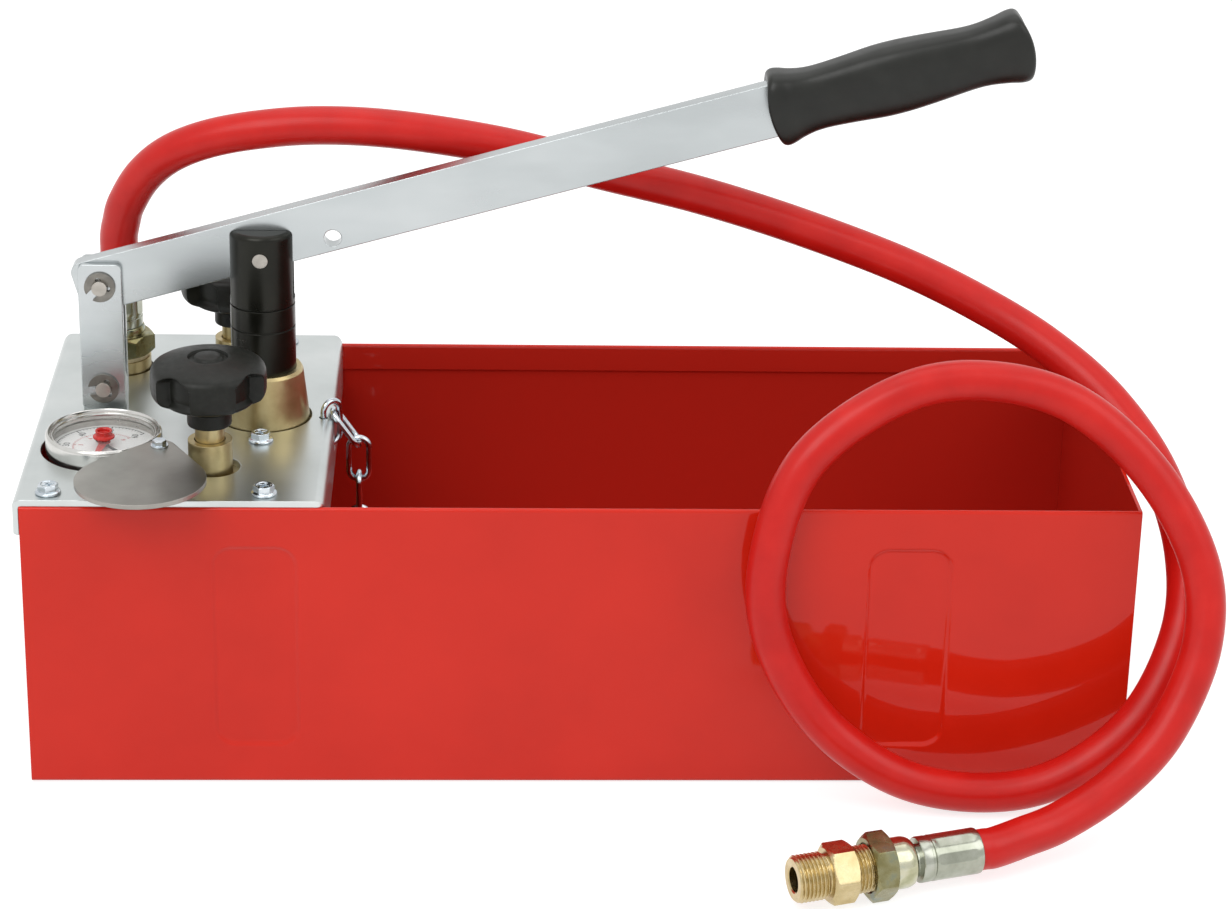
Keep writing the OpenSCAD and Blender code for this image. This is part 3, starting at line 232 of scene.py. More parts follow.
# polished steel: bezel ring, with faint turning haze
material("polished steel", {"shades": ("#c2c1bd", "#cccbc7", "#d4d3d0"), "patch": 12, "rough": (0.16, 0.24),
                            "grain": 1.2, "bump": 0.05, "depth": 0.02, "edge": 0.3, "metal": 1})
# red plastic: glossy moulding of the marker
material("red plastic", {"shades": ("#c0201b", "#cc2620", "#d62f28"), "patch": 5, "rough": (0.2, 0.3),
                         "grain": 1.0, "bump": 0.05, "depth": 0.02, "edge": 0.3})
# pressed fibre: pale washer, rough and porous
material("pressed fibre", {"shades": ("#c4b58c", "#d2c49d", "#ddd1b0"), "patch": 3, "rough": (0.6, 0.75),
                           "grain": 0.7, "bump": 0.2, "depth": 0.05, "edge": 0.3})
# seal rubber: matt black, with a coarse skin
material("seal rubber", {"shades": ("#0e0e0e", "#151515", "#1b1b1b"), "patch": 5, "rough": (0.5, 0.62),
                         "grain": 0.8, "bump": 0.15, "depth": 0.04})
print("made", len(materials), "materials")

finishes = {
    "gloss enamel": ["tank_shell", "tank_end_left", "tank_end_right", "plate_tabs"],
    "zinc sheet": ["cover_plate", "link_lug", "cover_post"],
    "zinc bar": ["lever_bar", "front_strap", "back_strap"],
    "bright zinc": ["plate_screws", "pump_screws", "cover_screw", "chain_ring", "lock_chain"],
    "plain steel": ["lower_link_pin", "upper_link_pin", "plunger_pin", "suction_ball", "suction_spring",
                    "delivery_ball", "delivery_spring", "gauge_case"],
    "clip steel": ["e_clips"],
    "satin steel": ["gauge_cover"],
    "polished steel": ["gauge_bezel"],
    "cast brass": ["pump_body", "suction_cap", "strainer", "delivery_plug", "front_valve_spindle",
                   "rear_valve_spindle", "gauge_stem", "bourdon_tube"],
    "turned brass": ["adapter"],
    "yellow zinc": ["outlet_nut", "swivel_nut"],
    "ferrule zinc": ["outlet_ferrule", "hose_end_ferrule"],
    "grip plastic": ["lever_grip"],
    "knob plastic": ["front_valve_knob", "rear_valve_knob"],
    "black steel": ["plunger", "plunger_head"],
    "dial card": ["gauge_dial"],
    "black ink": ["pressure_pointer"],
    "red plastic": ["marker_pointer"],
    "clear lens": ["gauge_lens"],
    "pressed fibre": ["outlet_washer"],
    "seal rubber": ["gland_seals", "front_valve_disc", "rear_valve_disc"],
    "hose rubber": ["hose"],
}
for name, members in finishes.items():
    for member in members:
        for slot in cad[member].material_slots:
            slot.material = materials[name]
print("finished", sum(len(members) for members in finishes.values()), "model nodes")


def gridFaces(rows, columns, wrapRows=False):
    # quads of a grid whose columns close on themselves
    i, j = np.meshgrid(np.arange(rows if wrapRows else rows - 1), np.arange(columns), indexing="ij")
    k, n = (i + 1) % rows, (j + 1) % columns
    return np.stack([i * columns + j, i * columns + n, k * columns + n, k * columns + j], -1).reshape(-1, 4)


def skin(points, wrapRows=False, startPole=None, endPole=None):
    # a grid of points as vertices and faces, with a fan to a pole at either end
    rows, columns = points.shape[:2]
    vertices = [points.reshape(-1, 3)]
    faces = gridFaces(rows, columns, wrapRows).tolist()
    ring = np.arange(columns)
    following = np.roll(ring, -1)
    count = rows * columns
    if startPole is not None:
        vertices.append(np.reshape(startPole, (1, 3)))
        faces += np.stack([following, ring, np.full(columns, count)], -1).tolist()
        count += 1
    if endPole is not None:
        vertices.append(np.reshape(endPole, (1, 3)))
        last = (rows - 1) * columns
        faces += np.stack([last + ring, last + following, np.full(columns, count)], -1).tolist()
    return np.concatenate(vertices), faces


def piece(name, skins, body, finish, slotName, nodes=(), sharp=40):
    # one object from one or more skins, riding a body and standing for model nodes
    vertices, faces, count = [], [], 0
    for points, corners in skins:
        vertices.append(points)
        faces += [[c + count for c in face] for face in corners]
        count += len(points)
    mesh = bpy.data.meshes.new(name)
    mesh.from_pydata((np.concatenate(vertices) * mm).tolist(), [], faces)
    mesh.update()
    mesh.shade_smooth()
    mesh.set_sharp_from_angle(angle=radians(sharp))
    made = bpy.data.objects.new(name, mesh)
    scene.collection.objects.link(made)
    mesh.materials.append(materials[finish])
    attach(made, body)
    if nodes:
        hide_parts(*nodes)
    return made


def turns(count):
    # evenly spaced directions round a circle
    return 2 * pi * np.arange(count) / count


def around(along, radius, origin, axis, aside):
    # points round an axis: one row for each place along it, one column for each direction
    axis, aside = np.array(axis, float), np.array(aside, float)
    angle = turns(radius.shape[1])
    across = np.cos(angle)[:, None] * aside + np.sin(angle)[:, None] * np.cross(axis, aside)
    return np.array(origin) + along[:, None, None] * axis + radius[:, :, None] * across[None]


def lathe(rows, origin, axis, aside):
    # a form round an axis, closed by a pole at each end
    along, radius = rows
    origin, axis = np.array(origin, float), np.array(axis, float)
    return skin(around(along, radius, origin, axis, aside), startPole=origin + along[0] * axis,
                endPole=origin + along[-1] * axis)


def plain(profile, sides):
    # round rows from pairs of a place along the axis and a radius
    rows = np.array(profile, float)
    return rows[:, 0], rows[:, 1:] * np.ones(sides)


def stack(*stretches):
    # the rows of several stretches, one after another
    return tuple(np.concatenate(parts) for parts in zip(*stretches))


def smoothCurve(points, steps):
    # Catmull-Rom curve through the points
    p = np.array(points, float)
    p = np.concatenate([p[:1], p, p[-1:]])
    t = (np.arange(steps) / steps)[None, :, None]
    a, b, c, d = p[:-3, None], p[1:-2, None], p[2:-1, None], p[3:, None]
    curve = 0.5 * (2 * b + (c - a) * t + (2 * a - 5 * b + 4 * c - d) * t ** 2 + (3 * b - a - 3 * c + d) * t ** 3)
    return np.concatenate([curve.reshape(-1, p.shape[1]), p[-1:]])


def roundedBox(sides, power):
    # a superellipse's shares of its half width and half height in each direction
    c, s = np.cos(turns(sides)), np.sin(turns(sides))
    return np.sign(c) * np.abs(c) ** power, np.sign(s) * np.abs(s) ** power


def step(x):
    # a smooth rise from nought to one
    x = np.clip(x, 0, 1)
    return x * x * (3 - 2 * x)


# hose: one smooth tube along the route of the model's hose, straight over its last stretch
hose = {"radius": 9, "sides": 56, "steps": 12, "endWay": 197, "end": (170.5, -188.7, 14.453), "straight": (9, 4, 0)}
endWay = np.array([cos(radians(hose["endWay"])), sin(radians(hose["endWay"])), 0])
endPoint = np.array(hose["end"])
route = [
    (-219.7, 61, 192.8), (-219.7, 61, 196.8), (-219.7, 61, 200.8), (-219.5, 60.2, 207), (-218, 58, 214.5),
    (-214.7, 54, 225.5), (-205.7, 48, 241.3), (-192, 41, 254.7), (-172.8, 36, 264), (-148, 32, 270),
    (-120, 31, 272.4), (-85, 31, 270.6), (-37.5, 33, 262.6), (9.5, 35, 250.2), (56.5, 37, 237.8), (104, 38, 222.3),
    (153.6, 34, 204.4), (192.2, 24, 188), (222.7, 8, 173), (248.5, -14, 155.3), (268, -42, 132), (276.6, -72, 105),
    (272.5, -98, 76), (252, -118, 42), (218, -128, 18), (182, -129, 10), (142, -126, 17), (106, -120, 43),
    (84, -115, 82), (82, -113, 122), (97, -105, 162), (133, -95, 188), (170, -90, 196), (214, -92, 187.3),
    (250.5, -103, 159), (273.6, -117, 120.7), (275.3, -131, 86), (259.5, -146, 51.5), (237, -158.5, 31),
    (211, -170, 18.6), (192, -178.8, 15.2), *(tuple(endPoint - back * endWay) for back in hose["straight"])]
line = smoothCurve(route, hose["steps"])
tangent = np.gradient(line, axis=0)
tangent /= np.linalg.norm(tangent, axis=1)[:, None]
aside = np.cross(tangent, [0, 1, 0])
aside /= np.linalg.norm(aside, axis=1)[:, None]
other = np.cross(tangent, aside)
angle = turns(hose["sides"])[:, None]
tube = line[:, None] + hose["radius"] * (np.cos(angle) * aside[:, None] + np.sin(angle) * other[:, None])
hosePiece = piece("hose_tube", [skin(tube, startPole=line[0], endPole=line[-1])], "base", "hose rubber",
                  "hose_rubber", ["hose"])

# crimped ferrules: eight pressed flats, then a groove and a lip at the fitting's end. The mouth, the pressed rows and
# the flats' start are measured from the hose's end and the rest from the other; mouth and lip are shares of the radius
ferrule = {"radius": 10.2, "flat": 9.92, "pressStart": 2.6, "pressOver": 2.4, "pressRows": (3, 5), "flatStart": 6,
           "flatEnd": 9, "freeRows": (8.4, 6.4), "freeOver": 2, "neck": 0.7,
           "mouth": [(0, 0.885), (0, 0.95), (0.3, 0.985), (0.9, 1), (2.6, 1)],
           "lip": [(6, 0.995), (5.7, 0.95), (4.7, 0.95), (4.4, 0.995), (0.9, 1), (0.3, 0.985), (0, 0.95), (0, 0.7)]}


def ferruleRows(sides, length, neck):
    full = np.full(sides, ferrule["radius"])
    crimp = np.minimum(full, ferrule["flat"] / np.cos(turns(sides) % (pi / 4) - pi / 8))

    def pressed(share):
        return full + (crimp - full) * step(share)

    rows = [(s, full * share) for s, share in ferrule["mouth"]]
    rows += [(s, pressed((s - ferrule["pressStart"]) / ferrule["pressOver"]))
             for s in np.linspace(*ferrule["pressRows"], 5)]
    rows += [(s, crimp) for s in np.linspace(ferrule["flatStart"], length - ferrule["flatEnd"], 6)]
    freeStart, freeEnd = (length - s for s in ferrule["freeRows"])
    rows += [(s, pressed((freeEnd - s) / ferrule["freeOver"])) for s in np.linspace(freeStart, freeEnd, 5)]
    rows += [(length - s, full * share) for s, share in ferrule["lip"]]
    if neck:
        rows.append((length + neck, full * ferrule["neck"]))
    return np.array([s for s, row in rows]), np.array([row for s, row in rows])


# hexagons of nuts and screws: corners turned off by a cone, whose end face is a share of the width across flats
hexagon = {"face": 0.965, "cone": 30, "rows": 13}


def hexRows(start, end, flats, sides, corner, reach, chamferStart=True):
    s = np.concatenate([start + np.linspace(0, reach, hexagon["rows"]), end - np.linspace(reach, 0, hexagon["rows"])])
    face, slope = flats / 2 * hexagon["face"], np.tan(radians(hexagon["cone"]))
    cone = face + (end - s) / slope
    if chamferStart:
        cone = np.minimum(cone, face + (s - start) / slope)
    flat = flats / 2 / np.cos((turns(sides) - corner) % (pi / 3) - pi / 6)
    return s, np.minimum(flat[None], cone[:, None])


# rounded pipe thread: a cosine ridge that climbs one pitch a turn, with fourteen rows to a pitch
thread = {"radius": 10.4775, "pitch": 1.814, "depth": 1.1, "rows": 14, "lead": 1.25, "leadSlope": 0.9}


def threadRows(start, end, sides, leads):
    s = np.linspace(start, end, int((end - start) / thread["pitch"] * thread["rows"]))
    phase = s[:, None] / thread["pitch"] - turns(sides)[None] / (2 * pi)
    ridge = thread["radius"] - thread["depth"] * (0.5 - 0.5 * np.cos(2 * pi * phase))
    if leads:
        # both ends are cut back for a start
        inwards = np.minimum(s - start, end - s)
        ridge = np.minimum(ridge, (thread["radius"] - thread["lead"] + inwards * thread["leadSlope"])[:, None])
    return s, ridge


# fittings on the hose's free end, along its own axis; the two hexagons are turned a little from flat
fitting = {"sides": 144, "flats": 27, "adapterFlats": 24, "chamfer": 2.4, "turn": radians(8), "ferrule": 28.5,
           "neck": 2,
           "collar": [(30.5, 7.2), (30.5, 8), (30.7, 8.8), (31.2, 9.6), (32, 10.4), (33.2, 11), (34.6, 11.35),
                      (36, 11.4), (40.4, 11.4), (41.2, 11.5), (41.5, 11.4), (41.5, 9)],
           "nutBack": [(41.55, 9)], "nut": (41.55, 52), "nutMouth": [(52, 11.2), (51.5, 10.8), (50, 10.7)],
           "shankEnd": [(50.5, 8)], "shank": (51, 59), "hexFoot": [(59, 9.6)], "hex": (59, 71),
           "relief": [(71, 9.3), (71.6, 9.3)], "thread": (71.8, 86),
           "bore": [(86, 8.9), (86, 6.1), (85.5, 5.5), (66, 5.5)]}
sides = fitting["sides"]
up, right, down = (0, 0, 1), (1, 0, 0), (0, 0, -1)


def endPiece(name, rows, *looks):
    return piece(name, [lathe(rows, endPoint, endWay, down)], "base", *looks)


nutRows = stack(plain(fitting["nutBack"], sides),
                hexRows(*fitting["nut"], fitting["flats"], sides, pi / 6 - fitting["turn"], fitting["chamfer"]),
                plain(fitting["nutMouth"], sides))
adapterRows = stack(plain(fitting["shankEnd"], sides), threadRows(*fitting["shank"], sides, False),
                    plain(fitting["hexFoot"], sides), hexRows(*fitting["hex"], fitting["adapterFlats"], sides,
                                                              pi / 6 + fitting["turn"], fitting["chamfer"]),
                    plain(fitting["relief"], sides), threadRows(*fitting["thread"], sides, True),
                    plain(fitting["bore"], sides))
endFerrule = endPiece("hose_end_ferrule_shell", ferruleRows(sides, fitting["ferrule"], fitting["neck"]),
                      "ferrule zinc", "zinc_plate", ["hose_end_ferrule"], 30)
# the collar takes the lighter zinc copy, a painted reflection
endCollar = endPiece("swivel_nut_collar", plain(fitting["collar"], sides), "pale zinc painted reflection", "yellow_zinc", (), 25)
endNut = endPiece("swivel_nut_turned", nutRows, "yellow zinc", "yellow_zinc", ["swivel_nut"], 25)
endAdapter = endPiece("adapter_threaded", adapterRows, "turned brass", "brass", ["adapter"], 30)

# union nut and ferrule at the pump's outlet; the nut's rows start at its foot and the ferrule's at the hose
outlet = {"nut": (-219.7, 61, 147.8), "hose": (-219.7, 61, 192.8), "ferrule": 31, "foot": [(0, 11.6)], "hex": (0, 10),
          "collar": [(10, 11.2), (10.6, 10.9), (13, 10.9), (13.7, 10.6), (14, 10.2)]}
along, radius = ferruleRows(sides, outlet["ferrule"], 0)
piece("outlet_ferrule_shell", [lathe((-along[::-1], radius[::-1]), outlet["hose"], up, right)], "base",
      "ferrule zinc", "zinc_plate", ["outlet_ferrule"], 30)
nutRows = stack(plain(outlet["foot"], sides),
                hexRows(*outlet["hex"], fitting["flats"], sides, 0, fitting["chamfer"]),
                plain(outlet["collar"], sides))
piece("outlet_nut_turned", [lathe(nutRows, outlet["nut"], up, right)], "base", "yellow zinc", "yellow_zinc",
      ["outlet_nut"], 25)
print("fittings made")

# lever grip: rounded-box sections along the bar, flared at both ends; outline pairs are a share of its length and a
# half height
grip = {"pivot": (-221.5, 0, 206), "rise": 15.75, "start": 319.5, "length": 118, "sides": 96, "steps": 5,
        "power": 3.3, "depth": 0.76, "bow": 2.6, "bowShare": 0.07,
        "outline": [(0, 13), (0, 14.9), (0.004, 16.2), (0.014, 17.1), (0.03, 17.4), (0.055, 16.8), (0.09, 15.5),
                    (0.14, 14.4), (0.2, 14.2), (0.3, 14.9), (0.42, 16), (0.52, 16), (0.62, 15.3), (0.76, 14),
                    (0.83, 14), (0.9, 15.1), (0.945, 16.2), (0.97, 16.4), (0.985, 15.9), (0.995, 14.6), (1, 12.6),
                    (1, 8.6)]}
rise = radians(grip["rise"])
barWay, barUp = np.array((cos(rise), 0, sin(rise))), np.array((-sin(rise), 0, cos(rise)))
shares, sizes = smoothCurve(grip["outline"], grip["steps"]).T
sideways, upwards = roundedBox(grip["sides"], 2 / grip["power"])
section = -grip["depth"] * sideways[:, None] * np.array((0, 1, 0)) + upwards[:, None] * barUp
spots = np.array(grip["pivot"]) + (grip["start"] + grip["length"] * np.clip(shares, 0, 1))[:, None] * barWay
# both ends bow outwards, most at mid-height
bowed = step((shares - 1) / grip["bowShare"] + 1) - step(1 - shares / grip["bowShare"])
bow = grip["bow"] * bowed[:, None] * (1 - np.clip(upwards, -1, 1) ** 2)[None]
moulding = spots[:, None] + sizes[:, None, None] * section + bow[:, :, None] * barWay
piece("lever_grip_moulded", [skin(moulding[:, ::-1], startPole=spots[0] - grip["bow"] * barWay,
      endPole=spots[-1] + grip["bow"] * barWay)], "lever", "grip plastic", "black_plastic", ["lever_grip"], 60)
print("grip made")

# valve knobs: a domed disc with four finger pockets in its side, on a collar, and a ring cut in its top; profile pairs
# are a radius and a height, pocket is half its width in degrees
knob = {"places": {"front": (-168.37, -61.5, 168.3), "rear": (-165.47, 66.5, 168.3)}, "sides": 360, "steps": 7,
        "turn": 9, "pocket": 20.5, "pocketEdge": 2.0, "depth": 6.4, "low": 3.6, "lowFade": 5, "high": 22.2,
        "highFade": 1.8, "arch": 3.5, "ringIn": 6, "ringOut": 9.2, "ringFade": 0.5, "ringDepth": 1.4, "ringAbove": 20,
        "profile": [(6.8, -7), (9.2, -7), (10, -6.2), (10, -1.2), (10.4, -0.2), (14, 1.9), (20, 4.2), (23.4, 5.8),
                    (25, 7.4), (25.8, 9.6), (26, 12.5), (26, 16), (25.8, 18.6), (25, 20.6), (23.4, 22), (20, 23.2),
                    (16, 24.2), (12, 25), (8, 25.5), (4, 25.8), (1, 26)]}
profile = smoothCurve(knob["profile"], knob["steps"])
heights = profile[:, 1][:, None]
offset = np.abs(np.degrees((turns(knob["sides"]) - radians(knob["turn"])) % (pi / 2)) - 45)
# the pocket's top is an arch, lower towards its sides
arch = knob["high"] - knob["arch"] * (offset / knob["pocket"]) ** 2
pocket = (step((knob["pocket"] - offset) / knob["pocketEdge"] + 0.5) * step((heights - knob["low"]) / knob["lowFade"])
          * step((arch - heights) / knob["highFade"]))
rowRadius = profile[:, 0][:, None] - knob["depth"] * pocket
ringCut = (knob["ringDepth"] * step((rowRadius - knob["ringIn"]) / knob["ringFade"])
           * step((knob["ringOut"] - rowRadius) / knob["ringFade"]) * (heights > knob["ringAbove"]))
for name, place in knob["places"].items():
    points = around(profile[:, 1], rowRadius, place, up, right)
    points[:, :, 2] -= ringCut
    bottom, top = (np.array(place) + (0, 0, profile[k, 1]) for k in (0, -1))
    piece(name + "_valve_knob_moulded", [skin(points, startPole=bottom, endPole=top)], name + "_valve_handle",
          "knob plastic", "black_plastic", [name + "_valve_knob"], 50)
print("knobs made")

# tank shell: the folded sheet's outline swept along the tank, with two panels pressed into the front; rows and columns
# lie closer together near the panels' edges
tank = {"half": 250, "side": 101, "high": 137, "sheet": 1.5, "hem": 13, "hemGap": 0.3, "fold": 2.2, "margin": 0.5,
        "panelX": 147, "panelW": 37, "panelH": 98, "panelR": 9, "panelDepth": 1.2, "panelEdge": 2.6,
        "rowStep": 7, "columnStep": 9, "nearReach": 11, "nearStep": 0.55, "hemSteps": 9, "foldSteps": 7,
        "innerSteps": 5, "wallSteps": 6}


def arc(y, z, r, start, end, count):
    a = np.radians(np.linspace(start, end, count))
    return np.stack([y + r * np.cos(a), z + r * np.sin(a)], -1)


def wall(a, b):
    return np.linspace(a, b, tank["wallSteps"], endpoint=False)[1:]


def gathered(low, high, coarse, edges):
    reach, fine = tank["nearReach"], tank["nearStep"]
    near = [edge + np.arange(-reach, reach + fine / 5, fine) for edge in edges]
    places = np.concatenate([np.arange(low, high, coarse), *near, [high]])
    places = np.unique(np.round(places, 2))
    return places[(places >= low) & (places <= high)]


side, high, sheet, fold = tank["side"], tank["high"], tank["sheet"], tank["fold"]
hemEnd = high - tank["hem"]
inner = side - 2 * sheet
panelZ = [high / 2 + k * tank["panelH"] / 2 for k in (-1, 1)]
frontZ = gathered(fold + tank["margin"], high - sheet - tank["margin"], tank["rowStep"], panelZ)
insideZ = frontZ[frontZ < hemEnd - tank["hemGap"]]
# the stretch under the hem is the outline's last edge, so the ring closes on itself
outline = np.concatenate([
    [(-inner, hemEnd)], arc(-inner - sheet, high - sheet, sheet, 0, 180, tank["hemSteps"]),
    np.stack([0 * frontZ - side, frontZ[::-1]], -1), arc(-side + fold, fold, fold, 180, 270, tank["foldSteps"]),
    arc(side - fold, fold, fold, 270, 360, tank["foldSteps"]), wall((side, fold), (side, high - sheet)),
    arc(inner + sheet, high - sheet, sheet, 0, 180, tank["hemSteps"]), [(inner, hemEnd), (side - sheet, hemEnd)],
    wall((side - sheet, hemEnd), (side - sheet, fold)),
    arc(side - fold, fold, fold - sheet, 360, 270, tank["innerSteps"]),
    arc(-side + fold, fold, fold - sheet, 270, 180, tank["innerSteps"]),
    np.stack([0 * insideZ - side + sheet, insideZ], -1), [(-side + sheet, hemEnd)]])
panelX = [j * tank["panelX"] + k * tank["panelW"] / 2 for j in (-1, 1) for k in (-1, 1)]
x = gathered(-tank["half"], tank["half"], tank["columnStep"], panelX)
gridX, gridY = np.meshgrid(x, outline[:, 0], indexing="ij")
gridZ = np.broadcast_to(outline[:, 1], gridX.shape)
# distance from the panel's rounded outline, less than nought inside it
cornerX = np.abs(np.abs(gridX) - tank["panelX"]) - (tank["panelW"] / 2 - tank["panelR"])
cornerZ = np.abs(gridZ - high / 2) - (tank["panelH"] / 2 - tank["panelR"])
apart = np.hypot(np.maximum(cornerX, 0), np.maximum(cornerZ, 0)) + np.minimum(np.maximum(cornerX, cornerZ), 0)
pressed = step(0.5 - (apart - tank["panelR"]) / tank["panelEdge"])
front = gridY < -side + 2 * sheet
shell = np.stack([gridX, gridY + np.where(front, tank["panelDepth"] * pressed, 0), gridZ], -1)
vertices, faces = skin(shell)
columns = len(outline)
faces += [list(range(columns - 1, -1, -1)), [len(x) * columns - columns + k for k in range(columns)]]
piece("tank_shell_pressed", [(vertices, faces)], "base", "gloss enamel", "tank_paint", ["tank_shell"], 35)
print("tank shell made", len(faces), "faces")

# gauge bezel: a turned ring with a raised outer lip, a groove and a lower inner lip; pairs are a height and a radius
bezel = {"middle": (-218.5, -39.5, 0), "sides": 160,
         "profile": [(138, 25.2), (138, 25.9), (138.8, 26.5), (146.2, 26.5), (147.4, 26.35), (148.2, 25.8),
                     (148.5, 25.2), (148.2, 24.9), (147.4, 24.65), (146.7, 24.5), (146.4, 24.2), (146.7, 23.9),
                     (147, 23.6), (147, 23.2), (146.6, 22.95), (145.8, 22.9), (144.6, 22.9), (144.6, 25.2)]}
middle = np.array(bezel["middle"])
points = around(*plain(bezel["profile"], bezel["sides"]), middle, up, right)
piece("gauge_bezel_turned", [skin(points, wrapRows=True)], "base", "polished steel", "plain_steel", ["gauge_bezel"], 30)

# settable marker: a finger cup on the lens and a tapered hand under it; turned pairs are a height and a radius, and
# the hand's are a reach and a half width, the shank's and the tip's reach as a share of the whole
marker = {"turn": 262, "sides": 72, "reach": 20, "under": 142.5, "handSides": 24, "handHalf": 0.38, "shankRows": 12,
          "root": [(1, 2.1), (4, 1.9)], "shank": [(0.5, 1.5), (0.96, 0.8)], "tip": [(0.985, 0.6), (1, 0.3)],
          "cup": [(144.7, 4.4), (144.8, 4.9), (145.2, 5), (145.6, 4.9), (145.8, 4.2), (146.2, 3.7), (147, 3.6),
                  (147.7, 3.75), (148.1, 3.9), (148.3, 3.75), (148.3, 3.1), (148.1, 2.8), (147.5, 2.6), (146.7, 2.6),
                  (146.5, 2.4)],
          "hub": [(142.1, 2.6), (142.25, 2.95), (142.75, 2.95), (142.9, 2.6)],
          "shaft": [(142.6, 1.1), (144.9, 1.1)]}
aim = radians(marker["turn"])
handWay, handSide = np.array((cos(aim), sin(aim), 0)), np.array((-sin(aim), cos(aim), 0))
hand = np.concatenate([np.linspace(*marker["shank"], marker["shankRows"]), marker["tip"]])
hand = np.concatenate([marker["root"], hand * (marker["reach"], 1)])
across, upwards = roundedBox(marker["handSides"], 0.5)
section = (hand[:, 1:] * across)[:, :, None] * handSide + marker["handHalf"] * upwards[:, None] * np.array(up)
spots = middle + (0, 0, marker["under"]) + hand[:, :1] * handWay
skins = [lathe(plain(marker[part], marker["sides"]), middle, up, right) for part in ("cup", "hub", "shaft")]
skins.append(skin(spots[:, None] + section, startPole=spots[0], endPole=spots[-1]))
piece("marker_pointer_moulded", skins, "marker_hand", "red plastic", "marker_red", ["marker_pointer"], 40)

# hexagon-flange screws with a cross recess in a dished top, four at the plate's corners and two beside the pump; stem
# pairs are a height and a radius
screw = {"sides": 96, "high": 140, "flats": 8.2, "head": 4.4, "hexFoot": 1.7, "chamfer": 1.2, "topRows": 34,
         "topRadii": (3.75, 0.1), "dish": 0.35, "dishRadius": 3.4, "dishFade": 0.5, "recess": 1.3, "slot": 0.7,
         "slotFade": 0.25, "slotReach": 2.6, "reachFade": 0.3, "firstTurn": 0.4, "nextTurn": 0.37,
         "stem": [(-14, 1.6), (-13.2, 2.4), (-0.2, 2.4), (0, 2.6), (0, 5.3), (0.25, 5.7), (0.7, 5.8), (1.1, 5.6),
                  (1.5, 5), (1.7, 4.6)],
         "places": {"plate_screws": [(-237.8, -91.5), (-237.8, 93.5), (-142.57, -91.5), (-142.57, 93.5)],
                    "pump_screws": [(-147.67, -31), (-147.67, 31)]}}


def slotShare(across, lengthwise):
    return (step((screw["slot"] - across) / screw["slotFade"])
            * step((screw["slotReach"] - lengthwise) / screw["reachFade"]))


def screwSkin(x, y, turn):
    top = np.linspace(*screw["topRadii"], screw["topRows"])
    along, radius = stack(plain(screw["stem"], screw["sides"]),
                          hexRows(screw["hexFoot"], screw["head"], screw["flats"], screw["sides"], 0,
                                  screw["chamfer"], False),
                          plain([(screw["head"], r) for r in top], screw["sides"]))
    points = around(along, radius, (0, 0, 0), up, right)
    face = points[-screw["topRows"]:]
    a, b = np.abs(face[:, :, 0]), np.abs(face[:, :, 1])
    dish = screw["dish"] * step((screw["dishRadius"] - np.hypot(a, b)) / screw["dishFade"])
    face[:, :, 2] -= dish + screw["recess"] * np.maximum(slotShare(a, b), slotShare(b, a))
    swing = np.array(((cos(turn), -sin(turn), 0), (sin(turn), cos(turn), 0), (0, 0, 1)))
    place = np.array((x, y, screw["high"]))
    return skin(points @ swing.T + place, startPole=place + (0, 0, screw["stem"][0][0]),
                endPole=place + (0, 0, screw["head"] - screw["dish"] - screw["recess"]))


for node, places in screw["places"].items():
    skins = [screwSkin(x, y, screw["firstTurn"] + screw["nextTurn"] * k) for k, (x, y) in enumerate(places)]
    piece(node + "_turned", skins, "base", "bright zinc", "zinc_plate", [node], 28)
print("bezel, marker and screws made")

# gauge dial print: a black outer scale, a red inner scale and their numbers, in a thin layer of ink; ticks are from one
# radius to another with a width, numbers at a radius with a size
dial = {"high": 140.56, "zero": 311, "sweep": 270, "major": 6, "minor": 60, "ink": 0.04, "ringSteps": 120,
        "black": {"minor": (21, 22.2, 0.3), "major": (20, 22.2, 0.6), "ring": (22, 22.3), "numbers": (17.2, 4.4)},
        "red": {"minor": (13.6, 14.6, 0.25), "major": (13, 14.6, 0.45), "numbers": (10.6, 3.2)}}
dialPlace = middle + (0, 0, dial["high"])


def dialWays(share):
    # directions along the scale, outwards and sideways
    a = np.radians(dial["zero"] - dial["sweep"] * share)
    return np.stack([np.cos(a), np.sin(a), 0 * a], -1), np.stack([-np.sin(a), np.cos(a), 0 * a], -1)


def ticks(count, inside, outside, width):
    way, sideWay = dialWays(np.arange(count + 1) / count)
    r = np.array([inside, outside, outside, inside])[None, :, None]
    w = np.array([-1, -1, 1, 1])[None, :, None] * width / 2
    points = dialPlace + r * way[:, None] + w * sideWay[:, None]
    return points.reshape(-1, 3), np.arange(points.size // 3).reshape(-1, 4).tolist()


def ringBand(inside, outside):
    count = dial["ringSteps"]
    way = dialWays(np.linspace(0, 1, count))[0]
    k = np.arange(count - 1)
    return (np.concatenate([dialPlace + outside * way, dialPlace + inside * way]),
            np.stack([k, k + count, k + count + 1, k + 1], -1).tolist())


